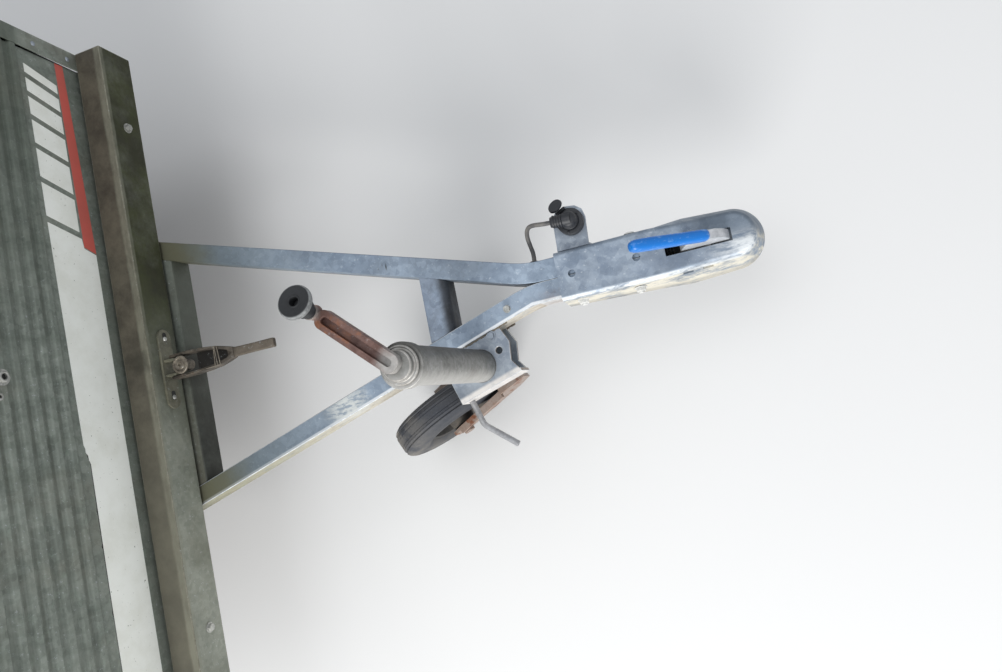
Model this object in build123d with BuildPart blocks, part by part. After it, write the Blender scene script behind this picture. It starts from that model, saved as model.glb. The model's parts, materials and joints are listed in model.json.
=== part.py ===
"""Small galvanised box trailer with a tipping body, parked on its jockey wheel.

Millimetres. The trailer is drawn level: X forward to the coupling, Y to its left, Z up,
with X = 0 over the wheels and Z = 0 on the ground. At the end it is pitched nose down, as
it stands with the jockey wheel wound right up, and centred on its own outline.
"""
import os
from math import atan2, cos, degrees, pi, radians, sin, sqrt, tan

from build123d import *

# Stance: the wound-up jockey wheel lets the nose down by this angle
PARK_PITCH = 5.7
WHEEL_R = 200.0
WHEEL_Y = 622.0
DECK_Z = 395.0

# Drawbar: two rectangular tubes that lie side by side in the coupling and then spread
TUBE_W, TUBE_H, TUBE_WALL = 30.0, 45.0, 2.5
COUPLING_X = 1450.0
BEND_X = COUPLING_X - 45.0
SPREAD = 0.315
TUBE_END_X = 40.0
BEND_R = 160.0
SPREAD_DEG = degrees(atan2(SPREAD, 1.0))

# Axle: a square beam with a trailing arm at each end
BEAM = 60.0
BEAM_X = 110.0
BEAM_Z = DECK_Z - TUBE_H - BEAM / 2
BEAM_HALF = 522.0
ARM_Y, ARM_T = 534.0, 20.0
SPINDLE_R = 15.0

# Load box
BOX_Z = DECK_Z + 5.0
SILL_X = COUPLING_X - 648.0
SILL_H, SILL_DEPTH, SHEET = 67.0, 49.0, 3.0
PANEL_X = SILL_X - SILL_DEPTH
BOX_REAR_X = PANEL_X - 1500.0
BOX_HALF_W = 540.0
PANEL_TOP = BOX_Z + SILL_H + 375.0
BAND_TOP = BOX_Z + 178.0
RIB_PITCH, RIB_DEPTH, RIB_FLAT = 24.0, 5.0, 9.0
FLOOR_Z, FLOOR_T = BOX_Z + 36.0, 12.0
POST = 28.0

# Tipping pivot, on ears behind the axle beam
PIVOT_X, PIVOT_Z = 20.0, DECK_Z - 23.0
PIVOT_Y = 360.0
PIN_R = 8.0

# Tailgate
GATE_X = BOX_REAR_X - 12.0
GATE_FOOT = BOX_Z + 56.0
HINGE_X, HINGE_Z, HINGE_R = GATE_X - 5.0, BOX_Z + 47.0, 6.0

# Jockey wheel, on the right-hand tube
JOCKEY_X, JOCKEY_Y = COUPLING_X - 141.0, -99.0
JOCKEY_R, JOCKEY_W = 110.0, 50.0
TRAIL, TRAIL_DEG = 122.0, 25.0
OUTER_R, INNER_R = 24.0, 20.5
OUTER_TOP, OUTER_BOTTOM = DECK_Z + 276.0, DECK_Z - 84.0
CRANK_R, CRANK_DEG = 116.0, 137.0

# Parked stance of the jockey wheel: its tyre meets the same ground as the road wheels
pitch = radians(PARK_PITCH)
trail_x = JOCKEY_X - TRAIL * cos(radians(TRAIL_DEG))
trail_y = JOCKEY_Y - TRAIL * sin(radians(TRAIL_DEG))
JOCKEY_Z = WHEEL_R + (JOCKEY_R - WHEEL_R + sin(pitch) * trail_x) / cos(pitch)

pieces = []


def keep(builder, name):
    """Name a finished piece and list it for the export."""
    builder.part.label = name
    pieces.append(builder.part)


def tube_y(x):
    """Distance of a drawbar tube's centre line from the middle, at a distance x ahead."""
    return TUBE_W / 2 + SPREAD * max(0.0, BEND_X - x)


# Drawbar tubes, bent in plan
tube_top = Plane.XY.offset(DECK_Z - TUBE_H)
for side, s in (("left", 1), ("right", -1)):
    path = [
        (COUPLING_X + 128, s * TUBE_W / 2),
        (BEND_X, s * TUBE_W / 2),
        (TUBE_END_X, s * tube_y(TUBE_END_X)),
    ]
    with BuildPart() as drawbar:
        with BuildSketch(tube_top):
            with BuildLine() as run:
                FilletPolyline(*path, radius=BEND_R)
            trace(run.line, line_width=TUBE_W - 0.1)
        extrude(amount=TUBE_H)
        with BuildSketch(tube_top.offset(TUBE_WALL)):
            with BuildLine() as bore_run:
                FilletPolyline(*path, radius=BEND_R)
            trace(bore_run.line, line_width=TUBE_W - 2 * TUBE_WALL)
        extrude(amount=TUBE_H - 2 * TUBE_WALL, mode=Mode.SUBTRACT)
    keep(drawbar, f"drawbar_{side}")


def between_tubes(rear_x, front_x, gap=0.0):
    """Plan outline that fills the space between the two tubes' inner faces."""
    inner = TUBE_W / 2 / cos(radians(SPREAD_DEG)) + gap
    rear, front = tube_y(rear_x) - inner, tube_y(front_x) - inner
    return [(rear_x, rear), (front_x, front), (front_x, -front), (rear_x, -rear)]


# Channel-section cross members between the tubes: name, rear, front, height, top edge radius
CROSS_MEMBERS = (
    ("front_crossmember", COUPLING_X - 690, COUPLING_X - 601, 45.0, 3.0),
    ("drawbar_brace", COUPLING_X - 209, COUPLING_X - 154, 40.0, 16.0),
)
for name, rear_x, front_x, height, edge_r in CROSS_MEMBERS:
    with BuildPart() as member:
        with BuildSketch(Plane.XY.offset(DECK_Z - height)):
            with BuildLine():
                Polyline(*between_tubes(rear_x, front_x), close=True)
            make_face()
        extrude(amount=height - 1)
        top_front = member.edges().filter_by(Axis.Y).group_by(Axis.Z)[-1].sort_by(Axis.X)[-1]
        fillet(top_front, radius=edge_r)
        with BuildSketch(Plane.XY.offset(DECK_Z - height)):
            with BuildLine():
                Polyline(*between_tubes(rear_x + SHEET, front_x - SHEET, gap=-40.0), close=True)
            make_face()
        extrude(amount=height - 1 - max(SHEET, edge_r * 0.45), mode=Mode.SUBTRACT)
    keep(member, name)

# Rubber buffers on the front cross member, under the sill
with BuildPart() as buffers:
    with BuildSketch(Plane.XY.offset(DECK_Z - 1)):
        with Locations((SILL_X - 22, 110), (SILL_X - 22, -110)):
            Circle(14)
    extrude(amount=BOX_Z - DECK_Z + 0.7)
keep(buffers, "rest_buffers")

# Axle beam, a square tube, with the tipping ears on its rear face
with BuildPart() as beam:
    with BuildSketch(Plane.XZ.offset(-BEAM_HALF)):
        with Locations((BEAM_X, BEAM_Z)):
            RectangleRounded(BEAM, BEAM, 6)
            Rectangle(BEAM - 8, BEAM - 8, mode=Mode.SUBTRACT)
    extrude(amount=2 * BEAM_HALF)
keep(beam, "axle_beam")

EAR_T = 6.0
with BuildPart() as ears:
    for y in (PIVOT_Y - 22, PIVOT_Y + 22, -PIVOT_Y + 22, -PIVOT_Y - 22):
        with BuildSketch(Plane.XZ.offset(-y)):
            with BuildLine():
                Polyline(
                    (BEAM_X - BEAM / 2, BEAM_Z - 20), (BEAM_X - BEAM / 2, DECK_Z - TUBE_H),
                    (PIVOT_X + 14, PIVOT_Z + 14), (PIVOT_X - 4, PIVOT_Z + 14),
                    (PIVOT_X - 14, PIVOT_Z - 2), (PIVOT_X - 8, PIVOT_Z - 18), close=True,
                )
            make_face()
            with Locations((PIVOT_X, PIVOT_Z)):
                Circle(PIN_R + 0.2, mode=Mode.SUBTRACT)
        extrude(amount=EAR_T / 2, both=True)
keep(ears, "tipping_ears")

# Trailing arms with their stub axles
for side, s in (("left", 1), ("right", -1)):
    arm_dx, arm_dz = BEAM_X, BEAM_Z - WHEEL_R
    arm_len = sqrt(arm_dx**2 + arm_dz**2)
    arm_plane = Plane(origin=(0, s * ARM_Y, WHEEL_R), x_dir=(arm_dx, 0, arm_dz), z_dir=(0, -1, 0))
    with BuildPart() as arm:
        with BuildSketch(arm_plane):
            with BuildLine():
                big, small = 28.0, 24.0
                Polyline((0, small), (arm_len, big), (arm_len, -big), (0, -small), close=True)
            make_face()
            Circle(small)
            with Locations((arm_len, 0)):
                Circle(big)
        extrude(amount=ARM_T / 2, both=True)
        with BuildSketch(Plane.XZ.offset(-s * ARM_Y)):
            with Locations((0, WHEEL_R)):
                Circle(SPINDLE_R)
        extrude(amount=-s * (WHEEL_Y + 12 - ARM_Y))
    keep(arm, f"swing_arm_{side}")

# Road wheels: steel disc rim, tyre and hub cap, turned about the stub axle
RIM_R, TYRE_W = 104.0, 100.0
STUD_PITCH_R = 50.0
for side, s in (("left", 1), ("right", -1)):
    across = Plane(origin=(0, s * WHEEL_Y, WHEEL_R), x_dir=(0, s, 0), z_dir=(1, 0, 0))
    with BuildPart() as tyre:
        with BuildSketch(across):
            with BuildLine():
                Polyline(
                    (-38.5, RIM_R + 0.1), (-38.5, RIM_R + 10), (-50, RIM_R + 28), (-49, WHEEL_R - 32),
                    (-40, WHEEL_R - 8), (-22, WHEEL_R), (22, WHEEL_R), (40, WHEEL_R - 8),
                    (49, WHEEL_R - 32), (50, RIM_R + 28), (38.5, RIM_R + 10), (38.5, RIM_R + 0.1),
                    close=True,
                )
            make_face()
        revolve(axis=Axis((0, s * WHEEL_Y, WHEEL_R), (0, 1, 0)))
    keep(tyre, f"tyre_{side}")

    with BuildPart() as rim:
        with BuildSketch(across):
            with BuildLine():
                Polyline(
                    (-46, RIM_R + 9), (-41, RIM_R + 9), (-39, RIM_R - 0.2), (-26, RIM_R - 6),
                    (-20, RIM_R - 16), (20, RIM_R - 16), (26, RIM_R - 6), (39, RIM_R - 0.2),
                    (41, RIM_R + 9), (46, RIM_R + 9), (43, RIM_R - 4), (29, RIM_R - 10),
                    (23, RIM_R - 20), (14, RIM_R - 22), (6, 78), (18, 62), (18, 24), (14, 24),
                    (14, 60), (2, 76), (-6, RIM_R - 20), (-23, RIM_R - 20), (-29, RIM_R - 10),
                    (-43, RIM_R - 4), close=True,
                )
            make_face()
        revolve(axis=Axis((0, s * WHEEL_Y, WHEEL_R), (0, 1, 0)))
        with BuildSketch(Plane(origin=(0, s * WHEEL_Y, WHEEL_R), x_dir=(1, 0, 0), z_dir=(0, s, 0))):
            with PolarLocations(77, 8):
                SlotOverall(20, 11, rotation=90)
        extrude(amount=40, mode=Mode.SUBTRACT)
    keep(rim, f"rim_{side}")

    with BuildPart() as hub:
        with BuildSketch(across):
            with BuildLine():
                Polyline(
                    (-56, SPINDLE_R + 0.4), (-56, 34), (-30, 34), (-30, 42), (-8, 42), (-8, 66),
                    (1.5, 66), (13.7, 60), (13.7, 23.6), (24, 23.6), (38, 20), (40, 14), (40, 0),
                    (16, 0), (16, SPINDLE_R + 0.4), close=True,
                )
            make_face()
        revolve(axis=Axis((0, s * WHEEL_Y, WHEEL_R), (0, 1, 0)))
        with BuildSketch(Plane(origin=(0, s * (WHEEL_Y + 18.2), WHEEL_R), x_dir=(1, 0, 0), z_dir=(0, s, 0))):
            with PolarLocations(STUD_PITCH_R - 8, 4):
                RegularPolygon(9, 6)
        extrude(amount=9)
    keep(hub, f"hub_{side}")

# Mudguards: arched sheet with a turned-down outer skirt, on a flat stay from the beam
GUARD_R, GUARD_T, GUARD_SKIRT = 243.0, 3.0, 24.5
GUARD_IN, GUARD_OUT = WHEEL_Y - 62.0, WHEEL_Y + 66.0
GUARD_FOOT = WHEEL_R - 30.0
# Ring depth and width, inwards from the outer edge
GUARD_RINGS = ((GUARD_SKIRT, GUARD_T), (GUARD_T, GUARD_OUT - GUARD_IN))
for side, s in (("left", 1), ("right", -1)):
    with BuildPart() as guard:
        for depth, width in GUARD_RINGS:
            with BuildSketch(Plane.XZ.offset(-s * GUARD_OUT)):
                with Locations((0, WHEEL_R)):
                    Circle(GUARD_R + GUARD_T)
                    Circle(GUARD_R + GUARD_T - depth, mode=Mode.SUBTRACT)
                with Locations((0, GUARD_FOOT - GUARD_R)):
                    Rectangle(3 * GUARD_R, 2 * GUARD_R, mode=Mode.SUBTRACT)
            extrude(amount=s * width)
    keep(guard, f"mudguard_{side}")

# One bent strap per side holds the mudguard to the beam
with BuildPart() as stays:
    for s in (1, -1):
        with BuildSketch(Plane.XY.offset(BEAM_Z + BEAM / 2 + 0.1)):
            with Locations((BEAM_X, s * (BEAM_HALF - 40 + GUARD_IN + 4) / 2)):
                Rectangle(40, GUARD_IN + 4 - BEAM_HALF + 40)
        extrude(amount=4)
        with BuildSketch(Plane.XZ.offset(-s * GUARD_IN)):
            with Locations((0, WHEEL_R)):
                Circle(GUARD_R - 0.1)
            with Locations((BEAM_X, BEAM_Z + BEAM / 2 + 60)):
                Rectangle(40, 119.8, mode=Mode.INTERSECT)
        extrude(amount=-s * 4)
keep(stays, "mudguard_stays")

# Coupling: pressed channel that clamps the tubes, with a domed head over the ball
HEAD_X = COUPLING_X + 242.0
CUP_Z = DECK_Z - 34.0
BALL_R = 25.4
COUPLING_TOP, COUPLING_BOTTOM = DECK_Z + 4.5, DECK_Z - 50.0
WALL = 4.0
SLOT_REAR = COUPLING_X + 152.0
# Half widths of the coupling: at its rear edge, where the tubes end, at its waist and at its head
TOP_HALVES = (34.5, 34.3, 31.0, 29.5)
FOOT_HALVES = (39.0, 44.0, 47.0, 43.0)
TUBES_END, WAIST = COUPLING_X + 132, COUPLING_X + 180


def coupling_outline(halves, inset):
    """Plan of the coupling at one height: two bent sides and a round head."""
    rear, mid, waist, head = (half - inset for half in halves)
    return [
        Polyline((COUPLING_X, -rear), (TUBES_END, -mid), (WAIST, -waist), (HEAD_X, -head)),
        RadiusArc((HEAD_X, -head), (HEAD_X, head), -head),
        Polyline((HEAD_X, head), (WAIST, waist), (TUBES_END, mid), (COUPLING_X, rear)),
        Line((COUPLING_X, rear), (COUPLING_X, -rear)),
    ]


with BuildPart() as coupling:
    for inset, shape in ((0.0, Mode.ADD), (WALL, Mode.SUBTRACT)):
        for halves, level in ((FOOT_HALVES, COUPLING_BOTTOM), (TOP_HALVES, COUPLING_TOP - inset)):
            with BuildSketch(Plane.XY.offset(level)):
                with BuildLine():
                    coupling_outline(halves, inset)
                make_face()
        loft(ruled=True, mode=shape)
        if shape == Mode.ADD:
            top_edges = coupling.faces().sort_by(Axis.Z)[-1].edges().filter_by(Axis.Y, reverse=True)
            fillet(top_edges, radius=7)
    with BuildSketch(Plane.XY.offset(COUPLING_BOTTOM)):
        with Locations((HEAD_X, 0)):
            Circle(30)
    extrude(amount=DECK_Z - 4 - COUPLING_BOTTOM)
    with BuildSketch(Plane.XY.offset(COUPLING_BOTTOM)):
        with Locations((HEAD_X, 0)):
            Circle(BALL_R)
    extrude(amount=CUP_Z - COUPLING_BOTTOM, mode=Mode.SUBTRACT)
    with Locations((HEAD_X, 0, CUP_Z)):
        Sphere(BALL_R, mode=Mode.SUBTRACT)
    for front, foot in ((COUPLING_X + 214, DECK_Z - 24), (COUPLING_X + 241, DECK_Z - 5.2)):
        with BuildSketch(Plane.XY.offset(COUPLING_TOP + 1)):
            with Locations(((front + SLOT_REAR) / 2, 0)):
                Rectangle(front - SLOT_REAR, 18)
        extrude(amount=foot - COUPLING_TOP - 1, mode=Mode.SUBTRACT)
    with BuildSketch(Plane.XY.offset(COUPLING_TOP + 1)):
        with Locations((COUPLING_X + 21, 0), (COUPLING_X + 113, 0)):
            Circle(5.5)
    extrude(amount=-10, mode=Mode.SUBTRACT)
    with BuildSketch(Plane.XZ.offset(-60)):
        with Locations((COUPLING_X + 176, DECK_Z - 10), (COUPLING_X + 203, DECK_Z - 10)):
            Rectangle(14, 6)
    extrude(amount=120, mode=Mode.SUBTRACT)
keep(coupling, "coupling_body")

# Coupling lever, in its raised open position: a plate through the slot, on a cross pin.
# Points are ahead of the coupling's rear edge and above the drawbar
HANDLE_X, HANDLE_Z = COUPLING_X + 198.0, DECK_Z - 12.0
LEVER_OUTLINE = (
    (172, -2), (183, 48), (123, 83.5), (128, 92), (214, 41.3), (222, 38), (232, 24), (238, 8),
    (236, -4.4), (214, -4.4), (212, -14), (206, -20), (190, -20), (180, -12),
)
lever_side = [(COUPLING_X + x, DECK_Z + z) for x, z in LEVER_OUTLINE]
with BuildPart() as handle:
    with BuildSketch(Plane.XZ):
        with BuildLine():
            Polyline(*lever_side, close=True)
        make_face()
    extrude(amount=6.5, both=True)
    with BuildSketch(Plane.XZ):
        with Locations((HANDLE_X, HANDLE_Z)):
            Circle(5)
    extrude(amount=25, both=True)
keep(handle, "coupling_handle")

# Moulded grip, a sleeve that tapers towards the lever's bend: place, width and height of each end
GRIP_DEG = 30.6
GRIP_ENDS = ((211.5, 37.0, 14.0, 18.0), (115.0, 94.0, 19.0, 22.0))
grip_back = Vector(-cos(radians(GRIP_DEG)), 0, sin(radians(GRIP_DEG)))
with BuildPart() as grip:
    for x, z, width, height in GRIP_ENDS:
        end_plane = Plane(origin=(COUPLING_X + x, 0, DECK_Z + z), x_dir=(0, 1, 0), z_dir=grip_back)
        with BuildSketch(end_plane):
            RectangleRounded(width, height, 5)
    loft(ruled=True)
    fillet(grip.faces().sort_by(Axis.X)[0].edges(), radius=3)
    with BuildSketch(Plane.XZ):
        with BuildLine():
            Polyline(*lever_side, close=True)
        make_face()
        offset(amount=0.2)
    extrude(amount=6.7, both=True, mode=Mode.SUBTRACT)
keep(grip, "handle_grip")

# Plate for the parked plug on the coupling's left side
PLUG_X, PLUG_Y = COUPLING_X + 34.0, 72.0
with BuildPart() as plug_plate:
    with BuildSketch(Plane.XY.offset(DECK_Z - 6)):
        with BuildLine():
            Polyline(
                (PLUG_X - 28, 36), (PLUG_X + 18, 36), (PLUG_X + 21, 76), (PLUG_X + 18, 88),
                (PLUG_X + 9, 95), (PLUG_X - 6, 97), (PLUG_X - 20, 92), (PLUG_X - 26, 82), close=True,
            )
        make_face()
        with Locations((PLUG_X, PLUG_Y)):
            Circle(14, mode=Mode.SUBTRACT)
    extrude(amount=3)
    with BuildSketch(Plane.YZ.offset(PLUG_X - 28)):
        with BuildLine():
            foot = [(36, -6), (39.2, -34), (42.2, -34), (39, -6)]
            Polyline(*[(y, DECK_Z + z) for y, z in foot], close=True)
        make_face()
    extrude(amount=46)
keep(plug_plate, "plug_plate")

with BuildPart() as holder:
    with BuildSketch(Plane.XY.offset(DECK_Z - 3)):
        with Locations((PLUG_X, PLUG_Y)):
            Circle(19)
            Circle(12.5, mode=Mode.SUBTRACT)
    extrude(amount=12)
keep(holder, "plug_holder")

# Angled plug, dropped upright into its holder with the cable boss to the rear
PLUG_R, PLUG_TOP, BOSS_R, BOSS_L = 12.0, 16.0, 9.0, 24.5
boss_from = Vector(PLUG_X, PLUG_Y, DECK_Z + PLUG_TOP + 6)
boss_lean = Vector(-0.998, 0.061, 0).normalized()
with BuildPart() as plug:
    with BuildSketch(Plane.XY.offset(DECK_Z - 12)):
        with Locations((PLUG_X, PLUG_Y)):
            Circle(PLUG_R)
    extrude(amount=PLUG_TOP + 12)
    with Locations(boss_from - Vector(0, 0, 6)):
        Sphere(PLUG_R)
    with BuildSketch(Plane(origin=boss_from, z_dir=boss_lean)):
        Circle(BOSS_R)
    extrude(amount=BOSS_L)
keep(plug, "parked_plug")

# Lamp cable: it hangs from the plug in a short loop and goes into the left tube's outer side.
# Points are ahead of the coupling's rear edge, left of the middle and above the drawbar
CABLE_R = 3.2
GLAND_H, GLAND_TURN = 4.5, radians(5.8)
gland_foot = Vector(COUPLING_X - 35, 30.83, DECK_Z - 25)
gland_out = Vector(sin(GLAND_TURN), cos(GLAND_TURN), 0)
CABLE_ROUTE = [
    (-2.0, 74.2, 22.0), (-14.9, 77.3, 17.8), (-25.0, 79.1, 8.5), (-32.0, 76.4, -3.2),
    (-35.5, 68.9, -14.0), (-35.2, 58.0, -22.1),
]
with BuildPart() as gland:
    with BuildSketch(Plane(origin=gland_foot, z_dir=gland_out)):
        Circle(6.2)
    extrude(amount=GLAND_H)
keep(gland, "cable_gland")

cable_points = [boss_from + boss_lean * (BOSS_L + 0.2)]
cable_points += [Vector(COUPLING_X + x, y, DECK_Z + z) for x, y, z in CABLE_ROUTE]
cable_points += [gland_foot + gland_out * (GLAND_H + out) for out in (10.25, 0.2)]
runs = [b - a for a, b in zip(cable_points, cable_points[1:])]
radii = [
    0.45 * min(a.length, b.length) / tan(radians(a.get_angle(b)) / 2) for a, b in zip(runs, runs[1:])
]
with BuildPart() as cable:
    with BuildLine() as cable_path:
        FilletPolyline(*cable_points, radius=radii)
    with BuildSketch(Plane(origin=cable_path.line @ 0, z_dir=cable_path.line % 0)):
        Circle(CABLE_R)
    sweep()
keep(cable, "cable_loop")

# Jockey clamp: a folded bracket on the right-hand tube, holding the outer tube
along = Vector(-cos(radians(SPREAD_DEG)), -sin(radians(SPREAD_DEG)), 0)
outward = Vector(sin(radians(SPREAD_DEG)), -cos(radians(SPREAD_DEG)), 0)
jockey_axis = Vector(JOCKEY_X, JOCKEY_Y, 0)
tube_side = Vector(BEND_X, -TUBE_W / 2, 0) + outward * (TUBE_W / 2)
reach = (jockey_axis - tube_side).dot(outward)
BRACKET_L, BRACKET_OUT, BRACKET_T = 104.0, 36.0, 5.0
BRACKET_TOP, BRACKET_BOTTOM = DECK_Z - 4.0, DECK_Z - 48.0
bracket_plane = Plane(origin=jockey_axis - outward * reach, x_dir=-along, z_dir=(0, 0, 1))
with BuildPart() as bracket:
    for level in (BRACKET_TOP - BRACKET_T, BRACKET_BOTTOM):
        with BuildSketch(bracket_plane.offset(level)):
            with BuildLine():
                half, out = BRACKET_L / 2, -(reach + BRACKET_OUT)
                Polyline(
                    (-half + 14, -0.2), (half, -0.2), (half + 4, -26), (half - 7, -52),
                    (half, out), (-half, out), (-half, -reach + 8), close=True,
                )
            make_face()
            with Locations((0, -reach)):
                Circle(OUTER_R + 0.3, mode=Mode.SUBTRACT)
            with Locations((36, -30)):
                Circle(5.5, mode=Mode.SUBTRACT)
        extrude(amount=BRACKET_T)
    with BuildSketch(bracket_plane.offset(BRACKET_BOTTOM)):
        with Locations((0, out + BRACKET_T / 2)):
            Rectangle(BRACKET_L, BRACKET_T)
    extrude(amount=BRACKET_TOP - BRACKET_BOTTOM)
    screw_height = (BRACKET_TOP + BRACKET_BOTTOM) / 2
    screw_from = jockey_axis + along * 43 + outward * 10 + Vector(0, 0, screw_height)
    with BuildSketch(Plane(origin=screw_from, z_dir=outward)):
        Circle(4.7)
    extrude(amount=40, mode=Mode.SUBTRACT)
keep(bracket, "jockey_bracket")

# Clamp screw with its bent handle: straight runs joined by arcs
rod_points = [screw_from, screw_from + outward * 66, screw_from + outward * 115 - along * 33]
with BuildPart() as clamp_rod:
    with BuildLine() as rod_path:
        FilletPolyline(*rod_points, radius=16)
    with BuildSketch(Plane(origin=rod_path.line @ 0, z_dir=rod_path.line % 0)):
        Circle(4.5)
    sweep()
keep(clamp_rod, "clamp_handle")

# Jockey leg: outer tube with its collar, inner slide, fork, wheel and crank
jockey_base = Plane(origin=(JOCKEY_X, JOCKEY_Y, 0))
with BuildPart() as outer:
    with BuildSketch(jockey_base.offset(OUTER_BOTTOM)):
        Circle(OUTER_R)
        Circle(OUTER_R - 2.5, mode=Mode.SUBTRACT)
    extrude(amount=OUTER_TOP - OUTER_BOTTOM)
    with BuildSketch(jockey_base.offset(OUTER_TOP - 16)):
        Circle(OUTER_R + 3)
        Circle(OUTER_R - 1, mode=Mode.SUBTRACT)
    extrude(amount=16)
keep(outer, "jockey_tube")

SLIDE_BOTTOM = OUTER_BOTTOM - 12
with BuildPart() as slide:
    with BuildSketch(jockey_base.offset(SLIDE_BOTTOM)):
        Circle(INNER_R)
        Circle(INNER_R - 3, mode=Mode.SUBTRACT)
    extrude(amount=OUTER_TOP - 40 - SLIDE_BOTTOM)
keep(slide, "jockey_slide")

# Fork, drawn in the vertical plane of the jockey wheel: x' runs back along the trail
back = Vector(-cos(radians(TRAIL_DEG)), -sin(radians(TRAIL_DEG)), 0)
aside = Vector(sin(radians(TRAIL_DEG)), -cos(radians(TRAIL_DEG)), 0)
LEG_T, LEG_IN, LEG_FLANGE = 6.0, JOCKEY_W / 2 + 6, 12.0
fork_plane = Plane(origin=(JOCKEY_X, JOCKEY_Y, JOCKEY_Z), x_dir=back, z_dir=back.cross(Vector(0, 0, 1)))
FORK_TOP = SLIDE_BOTTOM - 1.0
with BuildPart() as fork:
    for s in (1, -1):
        with BuildSketch(fork_plane.offset(s * LEG_IN)):
            with BuildLine():
                top = FORK_TOP - JOCKEY_Z
                Polyline(
                    (-24, top), (-24, top - 34), (0, top - 52), (TRAIL - 6, -20), (TRAIL + 8, -20),
                    (TRAIL + 22, -8), (TRAIL + 22, 12), (TRAIL + 6, 24), (24, top), close=True,
                )
            make_face()
            with Locations((TRAIL, 0)):
                Circle(6.2, mode=Mode.SUBTRACT)
        extrude(amount=s * LEG_T)
        with BuildSketch(fork_plane.offset(s * LEG_IN)):
            with BuildLine():
                Polyline((24, top), (TRAIL + 6, 24), (TRAIL + 4, 20.5), (22, top - 4), close=True)
            make_face()
        extrude(amount=s * LEG_FLANGE)
    with BuildSketch(Plane(origin=(JOCKEY_X, JOCKEY_Y, FORK_TOP - 5), x_dir=back, z_dir=(0, 0, 1))):
        Rectangle(48, 2 * (LEG_IN + LEG_T))
    extrude(amount=5)
    with BuildSketch(jockey_base.offset(FORK_TOP - 0.1)):
        Circle(INNER_R - 3.4)
    extrude(amount=40)
keep(fork, "jockey_fork")

wheel_axis = Axis((trail_x, trail_y, JOCKEY_Z), tuple(aside))
across_jockey = Plane(origin=(trail_x, trail_y, JOCKEY_Z), x_dir=aside, z_dir=aside.cross(Vector(0, 0, 1)))
with BuildPart() as jockey_tyre:
    with BuildSketch(across_jockey):
        with BuildLine():
            half = JOCKEY_W / 2
            Polyline(
                (-half + 5, 60), (-half, 70), (-half + 1, JOCKEY_R - 12), (-half + 8, JOCKEY_R - 2),
                (-half + 14, JOCKEY_R), (half - 14, JOCKEY_R), (half - 8, JOCKEY_R - 2),
                (half - 1, JOCKEY_R - 12), (half, 70), (half - 5, 60), close=True,
            )
        make_face()
    revolve(axis=wheel_axis)
keep(jockey_tyre, "jockey_tyre")

with BuildPart() as jockey_rim:
    with BuildSketch(across_jockey):
        with BuildLine():
            Polyline(
                (-20, 59.8), (20, 59.8), (18, 53), (4, 49), (4, 24), (28, 20), (28, 6.6),
                (-28, 6.6), (-28, 20), (-4, 24), (-4, 49), (-18, 53), close=True,
            )
        make_face()
    revolve(axis=wheel_axis)
keep(jockey_rim, "jockey_rim")

with BuildPart() as jockey_axle:
    with BuildSketch(Plane(origin=wheel_axis.position - aside * (LEG_IN + LEG_T), z_dir=tuple(aside))):
        Circle(6.0)
    extrude(amount=2 * (LEG_IN + LEG_T))
    for lean in (1, -1):
        face = wheel_axis.position + aside * lean * (LEG_IN + LEG_T)
        with BuildSketch(Plane(origin=face, z_dir=tuple(aside * lean))):
            RegularPolygon(10, 6)
        extrude(amount=7)
keep(jockey_axle, "jockey_axle_bolt")

# Crank: turned cap, grooved arm and spool-shaped knob
arm_dir = Vector(cos(radians(CRANK_DEG)), sin(radians(CRANK_DEG)), 0)
CAP_TOP = OUTER_TOP + 14
with BuildPart() as cap:
    with BuildSketch(jockey_base.offset(OUTER_TOP + 0.5)):
        Circle(OUTER_R - 1)
    extrude(amount=5)
    with BuildSketch(jockey_base.offset(OUTER_TOP + 5.5)):
        Circle(OUTER_R - 6)
    extrude(amount=CAP_TOP - OUTER_TOP - 5.5)
keep(cap, "crank_hub")

# Crank arm with a bush at its end, cut off square to the knob's pin, which is bent a little
ARM_FROM, ARM_TO, ARM_W, ARM_H = -6.0, 108.0, 23.0, 12.0
ARM_BUSH_R, GROOVE_W, GROOVE_DEPTH = 9.0, 9.0, 7.0
arm_plane = Plane(origin=(JOCKEY_X, JOCKEY_Y, CAP_TOP), x_dir=arm_dir, z_dir=(0, 0, 1))
knob_lean = Vector(0.05, 0.27, 0.96).normalized()
knob_foot = Vector(JOCKEY_X, JOCKEY_Y, CAP_TOP + ARM_H + 2.6) + arm_dir * CRANK_R
with BuildPart() as crank_arm:
    with BuildSketch(arm_plane):
        with Locations(((ARM_FROM + ARM_TO) / 2, 0)):
            RectangleRounded(ARM_TO - ARM_FROM, ARM_W, 9)
    extrude(amount=ARM_H)
    with BuildSketch(arm_plane.offset(ARM_H)):
        with Locations(((ARM_FROM + ARM_TO) / 2, 0)):
            SlotOverall(ARM_TO - ARM_FROM - 14, GROOVE_W)
    extrude(amount=-GROOVE_DEPTH, mode=Mode.SUBTRACT)
    with BuildSketch(arm_plane):
        with Locations((CRANK_R, 0)):
            Circle(ARM_BUSH_R)
    extrude(amount=ARM_H + 6)
    with BuildSketch(Plane(origin=knob_foot, z_dir=knob_lean)):
        Circle(2 * ARM_BUSH_R)
    extrude(amount=10, mode=Mode.SUBTRACT)
keep(crank_arm, "crank_arm")

knob_side = Vector(1, 0, 0).cross(knob_lean).normalized()
with BuildPart() as knob:
    with BuildSketch(Plane(origin=knob_foot, x_dir=knob_side, z_dir=knob_side.cross(knob_lean))):
        with BuildLine():
            Polyline(
                (0, 0.1), (8, 0.1), (8, 6), (12, 10), (10, 20), (18, 27), (18.5, 31), (16.5, 35),
                (5, 35), (4, 32), (0, 32), close=True,
            )
        make_face()
    revolve(axis=Axis(tuple(knob_foot), tuple(knob_lean)))
keep(knob, "crank_knob")


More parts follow.
